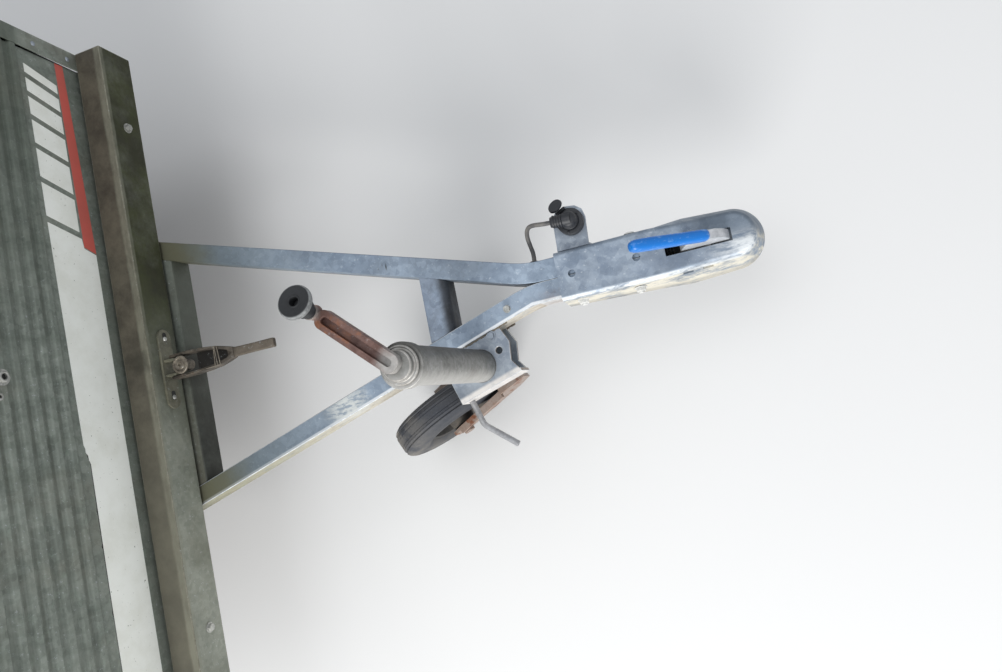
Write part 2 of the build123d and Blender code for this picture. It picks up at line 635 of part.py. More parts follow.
def ribbed_wall(bottom, ribs_from, top):
    """Section of a wall sheet: flat below, ribbed above, with a folded hem along its top."""
    hem = 22.0
    outer = [(0, bottom)]
    rib = ribs_from
    while rib + RIB_PITCH < top - hem:
        outer += [
            (0, rib), (RIB_DEPTH, rib + 3), (RIB_DEPTH, rib + 3 + RIB_FLAT), (0, rib + 6 + RIB_FLAT),
        ]
        rib += RIB_PITCH
    inner = [(x - SHEET, z) for x, z in reversed(outer)]
    hem_line = [
        (0, top - hem), (8, top - hem + 4), (8, top - 3), (4, top), (-SHEET - 4, top),
        (-SHEET - 8, top - 3), (-SHEET - 8, top - hem + 4), (-SHEET, top - hem),
    ]
    return outer + hem_line + inner


# Box: front sill rail, a folded channel with a flat ledge on top
with BuildPart() as sill:
    with BuildSketch(Plane.XZ.offset(-BOX_HALF_W)):
        with BuildLine():
            x, z, d, h, t = SILL_X, BOX_Z, SILL_DEPTH, SILL_H, SHEET
            Polyline(
                (x - 22, z), (x, z), (x, z + h), (x - d, z + h), (x - d, z + h - 20),
                (x - d + t, z + h - 20), (x - d + t, z + h - t), (x - t, z + h - t), (x - t, z + t),
                (x - 22, z + t), close=True,
            )
        make_face()
    extrude(amount=2 * BOX_HALF_W)
keep(sill, "front_sill")

with BuildPart() as front_panel:
    with BuildSketch(Plane.XZ.offset(-BOX_HALF_W + POST + 0.1)):
        with BuildLine():
            wall = ribbed_wall(BOX_Z, BAND_TOP, PANEL_TOP)
            Polyline(*[(PANEL_X - 0.1 - RIB_DEPTH + x, z) for x, z in wall], close=True)
        make_face()
    extrude(amount=2 * (BOX_HALF_W - POST - 0.1))
keep(front_panel, "front_panel")

SIDE_Y = BOX_HALF_W - 8.0
for side, s in (("left", 1), ("right", -1)):
    with BuildPart() as side_panel:
        with BuildSketch(Plane.YZ.offset(BOX_REAR_X + POST)):
            with BuildLine():
                wall = ribbed_wall(BOX_Z, BAND_TOP, PANEL_TOP)
                Polyline(*[(s * (SIDE_Y - RIB_DEPTH + y), z) for y, z in wall], close=True)
            make_face()
        extrude(amount=PANEL_X - POST - BOX_REAR_X - POST)
    keep(side_panel, f"side_panel_{side}")

# Folded corner posts
POST_T = 3.0
for end, x, fore in (("front", PANEL_X - 0.2, -1), ("rear", BOX_REAR_X, 1)):
    with BuildPart() as posts:
        for s in (1, -1):
            with BuildSketch(Plane.XY.offset(BOX_Z)):
                with BuildLine():
                    y = s * BOX_HALF_W
                    Polyline(
                        (x, y), (x + fore * POST, y), (x + fore * POST, y - s * POST_T),
                        (x + fore * POST_T, y - s * POST_T), (x + fore * POST_T, y - s * POST),
                        (x, y - s * POST), close=True,
                    )
                make_face()
            extrude(amount=PANEL_TOP - BOX_Z)
    keep(posts, f"{end}_posts")

# Floor board and the rails under it
with BuildPart() as floor:
    with BuildSketch(Plane.XY.offset(FLOOR_Z)):
        with Locations(((PANEL_X + BOX_REAR_X) / 2 - 5, 0)):
            Rectangle(PANEL_X - BOX_REAR_X - 26, 2 * (SIDE_Y - RIB_DEPTH - SHEET) - 2)
    extrude(amount=FLOOR_T)
keep(floor, "floor_board")

FLOOR_RAIL_H = FLOOR_Z - BOX_Z
with BuildPart() as floor_rails:
    for y in (-300.0, 300.0):
        with BuildSketch(Plane.YZ.offset(BOX_REAR_X + 50)):
            with BuildLine():
                h, w, t = FLOOR_RAIL_H, 22.0, SHEET
                points = [
                    (-w - 14, h), (-w, h), (-w, t), (w, t), (w, h), (w + 14, h), (w + 14, h - t),
                    (w + t, h - t), (w + t, 0), (-w - t, 0), (-w - t, h - t), (-w - 14, h - t),
                ]
                Polyline(*[(y + py, BOX_Z + pz) for py, pz in points], close=True)
            make_face()
        extrude(amount=PANEL_X - BOX_REAR_X - 80)
keep(floor_rails, "floor_rails")

with BuildPart() as rear_sill:
    with BuildSketch(Plane.XZ.offset(-BOX_HALF_W + POST)):
        with BuildLine():
            x, z, d, h, t = BOX_REAR_X, BOX_Z, 40.0, FLOOR_Z - BOX_Z - 0.1, SHEET
            Polyline(
                (x + d, z), (x, z), (x, z + h), (x + 12, z + h), (x + 12, z + h - t), (x + t, z + h - t),
                (x + t, z + t), (x + d, z + t), close=True,
            )
        make_face()
    extrude(amount=2 * (BOX_HALF_W - POST))
keep(rear_sill, "rear_sill")

# Tipping lugs under the box and the pins that join them to the ears
with BuildPart() as lugs:
    for s in (1, -1):
        with BuildSketch(Plane.XZ.offset(-s * PIVOT_Y)):
            with BuildLine():
                Polyline(
                    (PIVOT_X - 34, BOX_Z + 0.1), (PIVOT_X + 34, BOX_Z + 0.1),
                    (PIVOT_X + 15, PIVOT_Z - 6), (PIVOT_X + 6, PIVOT_Z - 15),
                    (PIVOT_X - 6, PIVOT_Z - 15), (PIVOT_X - 15, PIVOT_Z - 6), close=True,
                )
            make_face()
        extrude(amount=10, both=True)
        with BuildSketch(Plane.XZ.offset(-s * PIVOT_Y)):
            with Locations((PIVOT_X, PIVOT_Z)):
                Circle(PIN_R)
        extrude(amount=32, both=True)
    with BuildSketch(Plane.XY.offset(BOX_Z + 0.1)):
        with Locations((PIVOT_X, 0)):
            Rectangle(80, 2 * (PIVOT_Y + 40))
        with Locations((PIVOT_X, 300), (PIVOT_X, -300)):
            Rectangle(90, 50.2, mode=Mode.SUBTRACT)
    extrude(amount=FLOOR_RAIL_H - SHEET - 0.2)
keep(lugs, "tipping_lugs")

# Tailgate: the same ribbed sheet, hinged at its foot on three knuckles with one pin
with BuildPart() as gate:
    with BuildSketch(Plane.XZ.offset(-BOX_HALF_W + 2)):
        with BuildLine():
            wall = ribbed_wall(GATE_FOOT, BAND_TOP, PANEL_TOP)
            Polyline(*[(GATE_X - x, z) for x, z in wall], close=True)
        make_face()
    extrude(amount=2 * BOX_HALF_W - 4)
keep(gate, "tailgate_panel")

HINGE_YS = (-380.0, 0.0, 380.0)
with BuildPart() as gate_hinges:
    for y in HINGE_YS:
        with BuildSketch(Plane.XZ.offset(-y)):
            with Locations((HINGE_X, HINGE_Z)):
                Circle(HINGE_R)
                Circle(3.2, mode=Mode.SUBTRACT)
            with BuildLine():
                x = GATE_X - 0.2
                Polyline(
                    (HINGE_X - HINGE_R, HINGE_Z), (x, HINGE_Z + 2), (x, HINGE_Z + 60),
                    (x - 3, HINGE_Z + 60), (x - 3, HINGE_Z + 6.5), (HINGE_X - HINGE_R, HINGE_Z + 6),
                    close=True,
                )
            make_face()
            with Locations((HINGE_X, HINGE_Z)):
                Circle(3.2, mode=Mode.SUBTRACT)
        extrude(amount=18, both=True)
keep(gate_hinges, "gate_knuckles")

with BuildPart() as box_hinges:
    for y in HINGE_YS:
        for off in (-30, 30):
            with BuildSketch(Plane.XZ.offset(-y - off)):
                with Locations((HINGE_X, HINGE_Z)):
                    Circle(HINGE_R)
                with BuildLine():
                    x = BOX_REAR_X - 0.1
                    Polyline(
                        (HINGE_X, HINGE_Z + HINGE_R), (x, HINGE_Z + 4), (x, HINGE_Z - 40),
                        (x - 3, HINGE_Z - 40), (x - 3, HINGE_Z - 8), (HINGE_X, HINGE_Z - HINGE_R),
                        close=True,
                    )
                make_face()
            extrude(amount=11, both=True)
        with BuildSketch(Plane.XZ.offset(-y)):
            with Locations((HINGE_X, HINGE_Z)):
                Circle(3)
        extrude(amount=30, both=True)
keep(box_hinges, "box_knuckles")

# Over-centre catches that hold the tailgate's sides to the rear posts
with BuildPart() as catches:
    for s in (1, -1):
        with BuildSketch(Plane.XZ.offset(-s * (BOX_HALF_W + 0.1))):
            with Locations((BOX_REAR_X + 12, PANEL_TOP - 58)):
                SlotOverall(86, 16, rotation=90)
        extrude(amount=-s * 4)
        with BuildSketch(Plane.XZ.offset(-s * (BOX_HALF_W + 4))):
            with Locations((BOX_REAR_X + 12, PANEL_TOP - 70)):
                SlotOverall(56, 12, rotation=90)
        extrude(amount=-s * 10)
keep(catches, "gate_catches")

# Lamp bar under the rear of the box, with a lamp at each end and a bare plate between
BAR_X = BOX_REAR_X + 12.0
BAR_Z0, BAR_Z1 = BOX_Z - 100.0, BOX_Z - 2.0
with BuildPart() as lamp_bar:
    with BuildSketch(Plane.XZ.offset(-BOX_HALF_W + 4)):
        with BuildLine():
            x, t = BAR_X, SHEET
            Polyline(
                (x + 30, BAR_Z1 + 1.9), (x, BAR_Z1 + 1.9), (x, BAR_Z0), (x + 22, BAR_Z0),
                (x + 22, BAR_Z0 + t), (x + t, BAR_Z0 + t), (x + t, BAR_Z1 - t + 1.9),
                (x + 30, BAR_Z1 - t + 1.9), close=True,
            )
        make_face()
    extrude(amount=2 * (BOX_HALF_W - 4))
keep(lamp_bar, "lamp_bar")

LAMP_Y, LAMP_W, LAMP_H, LAMP_D = 460.0, 130.0, 84.0, 38.0
with BuildPart() as lamps:
    with BuildSketch(Plane.YZ.offset(BAR_X - LAMP_D)):
        with Locations((LAMP_Y, (BAR_Z0 + BAR_Z1) / 2), (-LAMP_Y, (BAR_Z0 + BAR_Z1) / 2)):
            RectangleRounded(LAMP_W, LAMP_H, 10)
    extrude(amount=LAMP_D - 0.1)
keep(lamps, "rear_lamps")

with BuildPart() as number_plate:
    with BuildSketch(Plane.YZ.offset(BAR_X - 4)):
        with Locations((0, (BAR_Z0 + BAR_Z1) / 2 - 6)):
            RectangleRounded(520, 110, 8)
    extrude(amount=3.9)
keep(number_plate, "number_plate")

# Front latch on the sill: slotted plate with a boss, and the lever that locks the box down
LATCH_Y, LATCH_Z = 3.0, BOX_Z + 30.0
LEVER_X = SILL_X + 20.0
with BuildPart() as latch_plate:
    with BuildSketch(Plane.YZ.offset(SILL_X + 0.1)):
        with Locations((LATCH_Y, LATCH_Z)):
            SlotOverall(128, 23)
    extrude(amount=4)
    with BuildSketch(Plane.YZ.offset(SILL_X + 4)):
        with Locations((LATCH_Y - 50, LATCH_Z), (LATCH_Y + 50, LATCH_Z)):
            RegularPolygon(9, 6)
    extrude(amount=6)
    for y in (LATCH_Y - 12, LATCH_Y + 12):
        with BuildSketch(Plane.XZ.offset(-y)):
            with BuildLine():
                Polyline(
                    (SILL_X + 4, LATCH_Z - 10), (SILL_X + 4, LATCH_Z + 10), (SILL_X + 22, LATCH_Z + 10),
                    (SILL_X + 30, LATCH_Z), (SILL_X + 22, LATCH_Z - 10), close=True,
                )
            make_face()
            with Locations((LEVER_X, LATCH_Z)):
                Circle(6.2, mode=Mode.SUBTRACT)
        extrude(amount=2, both=True)
keep(latch_plate, "latch_plate")

# Latch lever: a fork round the boss that narrows into a flat handle, in side view and in plan
FORK_SIDE = ((-9, -8), (-9, 9), (40, 14), (90, 10), (90, -4), (12, -10))
FORK_PLAN = ((-9, 19.5), (30, 19.5), (60, 15), (92, 8), (92, -8), (60, -15), (30, -19.5), (-9, -19.5))
FORK_GAP = ((-10, 15), (30, 15), (60, 10.5), (60, -10.5), (30, -15), (-10, -15))
with BuildPart() as lever:
    with BuildSketch(Plane.XZ.offset(-LATCH_Y)):
        with BuildLine():
            Polyline(*[(LEVER_X + x, LATCH_Z + z) for x, z in FORK_SIDE], close=True)
        make_face()
    extrude(amount=20, both=True)
    for outline, shape in ((FORK_PLAN, Mode.INTERSECT), (FORK_GAP, Mode.SUBTRACT)):
        with BuildSketch(Plane.XY.offset(LATCH_Z - 20)):
            with BuildLine():
                Polyline(*[(LEVER_X + x, LATCH_Y + y) for x, y in outline], close=True)
            make_face()
        extrude(amount=40, mode=shape)
    with BuildSketch(Plane.XZ.offset(-LATCH_Y)):
        with Locations((LEVER_X, LATCH_Z)):
            Circle(6)
    extrude(amount=19, both=True)
    with BuildSketch(Plane.YZ.offset(LEVER_X + 82)):
        with Locations((LATCH_Y, LATCH_Z + 3)):
            RectangleRounded(15, 9, 3)
    extrude(amount=102)
keep(lever, "latch_lever")

# Stand the trailer as it parks, and centre it on its own outline
nose_down = Location((0, 0, 0), (0, PARK_PITCH, 0))
park = Location((0, 0, WHEEL_R)) * nose_down * Location((0, 0, -WHEEL_R))
parked = [park * piece for piece in pieces]
outline = Compound(children=[piece.moved(Location()) for piece in parked]).bounding_box()
CENTRE_X = (outline.min.X + outline.max.X) / 2

if __name__ == "__main__":
    os.makedirs("parts", exist_ok=True)
    for piece, standing in zip(pieces, parked):
        placed = Location((-CENTRE_X, 0, 0)) * standing
        placed.label = piece.label
        export_step(placed, f"parts/{piece.label}.step")
    print("centre x", CENTRE_X, "jockey wheel", trail_x, trail_y, JOCKEY_Z, "size", outline.size)
    print("cable radii", [round(r, 1) for r in radii], "length", round(cable_path.wires()[0].length, 1))
    print("cable volume", round(cable.part.volume / (pi * CABLE_R**2 * cable_path.wires()[0].length), 4))
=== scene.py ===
"""Small galvanised tipping trailer, parked nose-down on its jockey wheel and seen from above its drawbar.

Metres. Pieces are drawn as on a level trailer: X forward to the coupling, Y to its left, Z up,
X = 0 over the wheels and Z = 0 on the ground. PARK then stands them in the frame.
"""
import json
from math import atan2, copysign, cos, pi, radians, sin

import bmesh
import bpy
from mathutils import Matrix, Vector


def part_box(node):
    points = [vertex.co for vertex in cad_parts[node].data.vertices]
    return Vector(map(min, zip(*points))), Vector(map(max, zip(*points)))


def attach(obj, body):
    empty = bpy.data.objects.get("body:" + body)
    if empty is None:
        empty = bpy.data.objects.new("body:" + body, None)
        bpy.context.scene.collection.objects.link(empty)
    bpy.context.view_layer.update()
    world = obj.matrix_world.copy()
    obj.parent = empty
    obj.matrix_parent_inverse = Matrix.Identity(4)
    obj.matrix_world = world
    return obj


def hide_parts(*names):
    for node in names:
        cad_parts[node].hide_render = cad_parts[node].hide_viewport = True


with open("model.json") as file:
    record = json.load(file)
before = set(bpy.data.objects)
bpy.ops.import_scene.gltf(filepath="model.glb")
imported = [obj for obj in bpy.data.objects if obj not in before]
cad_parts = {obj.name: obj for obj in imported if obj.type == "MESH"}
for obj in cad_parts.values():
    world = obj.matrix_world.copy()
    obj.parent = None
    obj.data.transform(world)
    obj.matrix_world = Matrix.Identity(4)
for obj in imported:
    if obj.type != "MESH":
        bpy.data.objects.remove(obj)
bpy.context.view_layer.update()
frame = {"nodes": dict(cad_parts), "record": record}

# Driving sizes, as in the part's source
PARK_PITCH = radians(5.7)
WHEEL_R, WHEEL_Y = 0.200, 0.622
DECK_Z, COUPLING_X = 0.395, 1.450
HEAD_X = COUPLING_X + 0.242
CROSSMEMBER_REAR, CROSSMEMBER_FRONT = COUPLING_X - 0.690, COUPLING_X - 0.636
BRACE_REAR, BRACE_FRONT = COUPLING_X - 0.208, COUPLING_X - 0.168

# Box: its foot and half width, front sill, front panel with ribs above a printed band, and outer faces
BOX_Z, BOX_HALF_W = DECK_Z + 0.005, 0.540
SILL_X, SILL_TOP, SILL_DEPTH = COUPLING_X - 0.648, BOX_Z + 0.067, 0.049
PANEL_X = SILL_X - SILL_DEPTH
BOX_REAR_X = PANEL_X - 1.500
BAND_TOP, RIB_PITCH = BOX_Z + 0.178, 0.024
FLOOR_TOP = BOX_Z + 0.048
PANEL_FACE, SIDE_FACE, GATE_FACE = PANEL_X - 0.0051, BOX_HALF_W - 0.013, BOX_REAR_X - 0.012

# Latch on the sill: its middle, the place of the lever's pin, and the plate's bolts from right to left
LATCH_Y, LATCH_Z, LEVER_X = 0.003, BOX_Z + 0.030, SILL_X + 0.020
LATCH_BOLTS = (-0.0434, 0.0518)

# Jockey wheel: its upright tube, how far and at what turn the wheel trails behind it, and its crank
JOCKEY_X, JOCKEY_Y, JOCKEY_R = COUPLING_X - 0.141, -0.099, 0.110
TRAIL, TRAIL_TURN = 0.122, radians(25.0)
TUBE_TOP = DECK_Z + 0.276
CRANK_TURN, CRANK_REACH = radians(137.0), 0.116
CRANK_ARM = Vector((cos(CRANK_TURN), sin(CRANK_TURN), 0))
KNOB_FOOT = Vector((JOCKEY_X, JOCKEY_Y, TUBE_TOP + 0.0286)) + CRANK_ARM * CRANK_REACH
KNOB_LEAN = Vector((0.05, 0.27, 0.96)).normalized()

# Drawbar tubes: they bend apart behind the coupling, so many metres to the side for each metre back.
# ALONG runs back down the right tube and OUTWARD looks out of its outer side
BEND_X, SPREAD = COUPLING_X - 0.045, 0.315
SPREAD_TURN = atan2(SPREAD, 1.0)
ALONG = Vector((-cos(SPREAD_TURN), -sin(SPREAD_TURN), 0))
OUTWARD = Vector((sin(SPREAD_TURN), -cos(SPREAD_TURN), 0))
TUBE_W, TUBE_H = 0.030, 0.045
TUBE_ACROSS = TUBE_W / 2 / cos(SPREAD_TURN)
TUBE_FACE = Vector((BEND_X, -TUBE_W / 2, 0)) + OUTWARD * (TUBE_W / 2)

# Jockey bracket, and how far the jockey tube stands out from the drawbar tube's face
BRACKET_TOP, BRACKET_BOTTOM = DECK_Z - 0.004, DECK_Z - 0.048
REACH = (Vector((JOCKEY_X, JOCKEY_Y, 0)) - TUBE_FACE).dot(OUTWARD)

# Where the parked trailer stands: pitched about the axle, whose place is read from the frame
wheel_low, wheel_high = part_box("tyre_left")
AXLE = Vector(((wheel_low.x + wheel_high.x) / 2, 0, WHEEL_R))
PARK = Matrix.Translation(AXLE) @ Matrix.Rotation(PARK_PITCH, 4, "Y") @ Matrix.Translation((0, 0, -WHEEL_R))


def srgb(red, green, blue):
    """Colour seen as 0 to 255, as the linear colour that a shader takes."""
    def linear(value):
        value /= 255
        return value / 12.92 if value <= 0.04045 else ((value + 0.055) / 1.055) ** 2.4
    return linear(red), linear(green), linear(blue), 1.0


# Shader nodes
class Bench:
    """Adds nodes to one tree, over one set of coordinates."""

    def __init__(self, tree, coords=None):
        self.tree, self.coords = tree, coords

    def feed(self, target, value):
        """Joins an input to a socket, or sets it to a value."""
        if isinstance(value, bpy.types.NodeSocket):
            self.tree.links.new(value, target)
        else:
            target.default_value = value

    def add(self, kind, inputs, **settings):
        made = self.tree.nodes.new("ShaderNode" + kind)
        for key, value in settings.items():
            setattr(made, key, value)
        for key, value in inputs.items():
            self.feed(made.inputs[key], value)
        return made

    def maths(self, operation, first, second=0.0):
        return self.add("Math", {0: first, 1: second}, operation=operation).outputs[0]

    def times(self, first, second):
        return self.maths("MULTIPLY", first, second)

    def plus(self, first, second):
        return self.maths("ADD", first, second)

    def minus(self, first, second):
        return self.maths("SUBTRACT", first, second)

    def larger(self, first, second):
        return self.maths("MAXIMUM", first, second)

    def mix(self, share, first, second):
        return self.add("Mix", {0: share, 6: first, 7: second}, data_type="RGBA").outputs[2]

    def cover(self, under, over, mask, share):
        """Lays one colour over another where the mask is, by no more than the share."""
        return self.mix(self.times(mask, share), under, over)

    def between(self, value, low, high, start=0.0, end=1.0):
        """Goes smoothly from start to end while the value goes from low to high."""
        inputs = {0: value, 1: low, 2: high, 3: start, 4: end}
        return self.add("MapRange", inputs, interpolation_type="SMOOTHSTEP").outputs[0]

    def noise(self, scale, detail=3.0, roughness=0.55):
        """Noise with one scale, or with a scale along each axis."""
        vector = self.coords
        if isinstance(scale, tuple):
            vector = self.add("Mapping", {"Vector": vector, "Scale": scale}).outputs[0]
            scale = 1.0
        inputs = {"Vector": vector, "Scale": scale, "Detail": detail, "Roughness": roughness}
        return self.add("TexNoise", inputs).outputs[0]

    def patches(self, scale, detail, roughness, low, high, start=0.0, end=1.0):
        """Ragged patches: noise that goes from start to end between two of its values."""
        return self.between(self.noise(scale, detail, roughness), low, high, start, end)

    def place(self):
        """Distance ahead, to the left and up on the level trailer."""
        shift = PARK.inverted().to_translation()
        turned = self.add("Mapping", {"Vector": self.coords, "Location": shift, "Rotation": (0, -PARK_PITCH, 0)})
        return self.add("SeparateXYZ", {0: turned.outputs[0]}).outputs

    def facing(self):
        """How far the surface looks ahead, to the left and up in the frame."""
        return self.add("SeparateXYZ", {0: self.add("NewGeometry", {}).outputs["Normal"]}).outputs

    def spot(self, centre, reach, ragged=0.0):
        """1 at a point of the level trailer, falling to 0 at a distance; ragged breaks up its rim."""
        inputs = {0: self.coords, 1: PARK @ Vector(centre)}
        away = self.add("VectorMath", inputs, operation="DISTANCE").outputs["Value"]
        if ragged:
            away = self.plus(away, self.times(self.noise(70.0, 5.0, 0.7), ragged))
        return self.between(away, reach * 0.4, reach, 1.0, 0.0)

    def group(self, tree, **values):
        """Lays a node group over the same coordinates and gives its outputs."""
        return self.add("Group", {"Vector": self.coords, **values}, node_tree=tree).outputs

    def zinc(self, dull, bright, dirt, crystal, blotch, grime, speckle=0.3):
        """Galvanising in three tones, seen as 0 to 255."""
        return self.group(ZINC, Dull=srgb(*dull), Bright=srgb(*bright), Dirt=srgb(*dirt), Crystal=crystal,
                          Blotch=blotch, Grime=grime, Speckle=speckle)

    def rusted(self, color, amount):
        return self.group(RUST, Base=color, Amount=amount)["Color"]

    def shine(self, color, roughness=None, height=None, depth=0.0003, strength=0.5):
        """Joins what changes over the surface to the material's shader."""
        shader = self.tree.nodes["Principled BSDF"].inputs
        self.feed(shader["Base Color"], color)
        if roughness is not None:
            self.feed(shader["Roughness"], roughness)
        if height is not None:
            bump = self.add("Bump", {"Height": height, "Strength": strength, "Distance": depth})
            self.feed(shader["Normal"], bump.outputs[0])


def node_group(name, inputs, outputs):
    """New shader group with named sockets: the group, its bench, its inputs and its outputs."""
    group = bpy.data.node_groups.new(name, "ShaderNodeTree")
    for direction, sockets in (("INPUT", inputs), ("OUTPUT", outputs)):
        for label, kind in sockets.items():
            group.interface.new_socket(label, in_out=direction, socket_type="NodeSocket" + kind)
    given = group.nodes.new("NodeGroupInput").outputs
    return group, Bench(group, given["Vector"]), given, group.nodes.new("NodeGroupOutput").inputs


def weathered_zinc():
    """Galvanising: faint crystal spangle, dull and bright blotches, fine speckle and settled dirt."""
    group, bench, given, result = node_group(
        "weathered_zinc",
        {"Vector": "Vector", "Dull": "Color", "Bright": "Color", "Dirt": "Color", "Crystal": "Float",
         "Blotch": "Float", "Grime": "Float", "Speckle": "Float"},
        {"Color": "Color", "Roughness": "Float", "Height": "Float"})
    cells = bench.add("TexVoronoi", {"Vector": bench.coords, "Scale": given["Crystal"]})
    crystal = bench.add("SeparateColor", {0: cells.outputs["Color"]}).outputs[0]
    blotch = bench.patches(given["Blotch"], 5.0, 0.62, 0.34, 0.66)
    fine = bench.noise(320.0, 3.0, 0.7)
    tone = bench.plus(bench.times(crystal, 0.30), bench.times(blotch, 0.40))
    tone = bench.plus(tone, bench.times(fine, 0.30))
    zinc = bench.mix(tone, given["Dull"], given["Bright"])
    flecks = bench.patches(190.0, 4.0, 0.75, 0.60, 0.68)
    zinc = bench.cover(zinc, srgb(206, 212, 216), flecks, given["Speckle"])
    pits = bench.patches(130.0, 5.0, 0.75, 0.37, 0.31)
    zinc = bench.cover(zinc, given["Dirt"], pits, given["Speckle"])
    grime = bench.times(bench.patches(6.0, 7.0, 0.7, 0.42, 0.68), given["Grime"])
    rough = bench.plus(bench.times(tone, -0.22), 0.62)
    bench.feed(result["Color"], bench.mix(grime, zinc, given["Dirt"]))
    bench.feed(result["Roughness"], bench.plus(rough, bench.times(grime, 0.3)))
    bench.feed(result["Height"], bench.plus(bench.times(crystal, 0.25), fine))
    return group


def surface_rust():
    """Patches where a finish has gone to rust, ragged at the rims."""
    group, bench, given, result = node_group(
        "surface_rust", {"Vector": "Vector", "Base": "Color", "Amount": "Float"}, {"Color": "Color"})
    rim = bench.minus(1.0, given["Amount"])
    mask = bench.between(bench.noise(30.0, 6.0, 0.7), bench.minus(rim, 0.06), bench.plus(rim, 0.06))
    rust = bench.mix(bench.noise(420.0, 3.0, 0.7), srgb(80, 50, 36), srgb(154, 104, 78))
    bench.feed(result["Color"], bench.mix(mask, given["Base"], rust))
    return group


def settled_dust():
    """Dust that lies on faces looking up, and in uneven drifts elsewhere."""
    group, bench, given, result = node_group(
        "settled_dust", {"Vector": "Vector", "Base": "Color", "Dust": "Color", "Amount": "Float"},
        {"Color": "Color", "Mask": "Float"})
    lying = bench.between(bench.facing()[2], 0.2, 1.0, 0.25, 1.0)
    drift = bench.patches(26.0, 5.0, 0.65, 0.3, 0.72)
    mask = bench.times(bench.times(lying, drift), given["Amount"])
    bench.feed(result["Color"], bench.mix(mask, given["Base"], given["Dust"]))
    bench.feed(result["Mask"], mask)
    return group


ZINC, RUST, DUST = weathered_zinc(), surface_rust(), settled_dust()


# Materials, each listed under its name
MATERIALS = {}


def new_material(name, metallic=0.0, roughness=0.5, coat=0.0):
    """Lists a new material and gives a bench over its object coordinates."""
    material = bpy.data.materials.new(name)
    MATERIALS[name] = material
    material.use_nodes = True
    bench = Bench(material.node_tree)
    bench.coords = bench.add("TexCoord", {}).outputs["Object"]
    shader = material.node_tree.nodes["Principled BSDF"].inputs
    for key, value in (("Metallic", metallic), ("Roughness", roughness), ("Coat Weight", coat)):
        shader[key].default_value = value
    return bench


def zinc_material(name, dull, bright, dirt, crystal, blotch, grime, metallic, rust):
    """Plated or galvanised steel in three tones, with a share of surface rust."""
    bench = new_material(name, metallic)
    zinc = bench.zinc(dull, bright, dirt, crystal, blotch, grime)
    color = bench.rusted(zinc["Color"], rust) if rust else zinc["Color"]
    bench.shine(color, zinc["Roughness"], zinc["Height"], 0.0002, 0.4)


def right_flank(bench, ahead, left, inner=0.0125, outer=0.0142):
    """1 on the outer side face of the right drawbar tube, from the distance out of its centre line."""
    bend = bench.times(bench.larger(bench.minus(BEND_X, ahead), 0.0), SPREAD)
    across = bench.minus(bench.minus(-TUBE_W / 2, left), bend)
    return bench.between(bench.times(across, cos(SPREAD_TURN)), inner, outer)


def drawbar_material():
    """Drawbar tubes: blue-grey zinc, the right tube's outer side painted pale yellowish as if sunlit with brown
    mottling and a painted highlight along its upper corner, a chafed white patch and a green rear end.
    """
    bench = new_material("drawbar_zinc", 0.45)
    zinc = bench.zinc((106, 120, 137), (153, 167, 182), (88, 86, 78), 130, 16, 0.22, 0.35)
    ahead, left, up = bench.place()
    drips = bench.noise((26, 26, 5), 5.0, 0.7)
    low = bench.between(bench.plus(up, bench.times(drips, 0.03)), DECK_Z - 0.012, DECK_Z - 0.03)
    color = bench.cover(zinc["Color"], srgb(142, 122, 96), low, 0.55)
    behind = bench.between(ahead, COUPLING_X - 0.30, COUPLING_X - 0.64)
    color = bench.cover(color, srgb(88, 96, 94), behind, 0.72)
    olive = bench.between(bench.plus(ahead, bench.times(drips, 0.06)), COUPLING_X - 0.50, COUPLING_X - 0.60)
    color = bench.cover(color, srgb(104, 102, 78), olive, 0.85)
    # Painted sunlight: the right tube's outer side face pale yellowish, paler towards the coupling, mottled brown
    blotched = bench.patches((30, 30, 90), 6.0, 0.7, 0.30, 0.55, 0.45, 0.95)
    lit_flank = bench.times(right_flank(bench, ahead, left), blotched)
    forward = bench.between(ahead, COUPLING_X - 0.60, COUPLING_X - 0.25)
    sunlit_cream = bench.mix(forward, srgb(158, 156, 132), srgb(214, 206, 190))
    mottle = bench.patches(55.0, 6.0, 0.72, 0.46, 0.66)
    color = bench.mix(lit_flank, color, bench.cover(sunlit_cream, srgb(150, 132, 108), mottle, 0.45))
    # Painted highlight along the upper corner of the right tube's outer side
    corner = bench.times(right_flank(bench, ahead, left, 0.0098, 0.0116),
                         right_flank(bench, ahead, left, 0.0150, 0.0146))
    corner = bench.times(corner, bench.between(ahead, COUPLING_X - 0.60, COUPLING_X - 0.20, 0.25, 0.85))
    color = bench.mix(corner, color, srgb(226, 229, 231))
    chafe = bench.spot((COUPLING_X - 0.362, -0.117, DECK_Z), 0.070, 0.04)
    scored = bench.patches((60, 190, 60), 4.0, 0.7, 0.40, 0.54, 0.15, 0.85)
    color = bench.cover(color, srgb(208, 210, 206), chafe, scored)
    nick = bench.spot((COUPLING_X - 0.262, 0.079, DECK_Z), 0.010)
    strokes = bench.patches((330, 60, 60), 2.0, 0.5, 0.53, 0.60)
    color = bench.cover(color, srgb(48, 50, 52), nick, strokes)
    weld = bench.spot((COUPLING_X - 0.010, -0.050, DECK_Z - 0.030), 0.085, 0.06)
    color = bench.cover(color, srgb(116, 84, 58), weld, 0.6)
    bench.shine(color, zinc["Roughness"], zinc["Height"], 0.0002, 0.4)


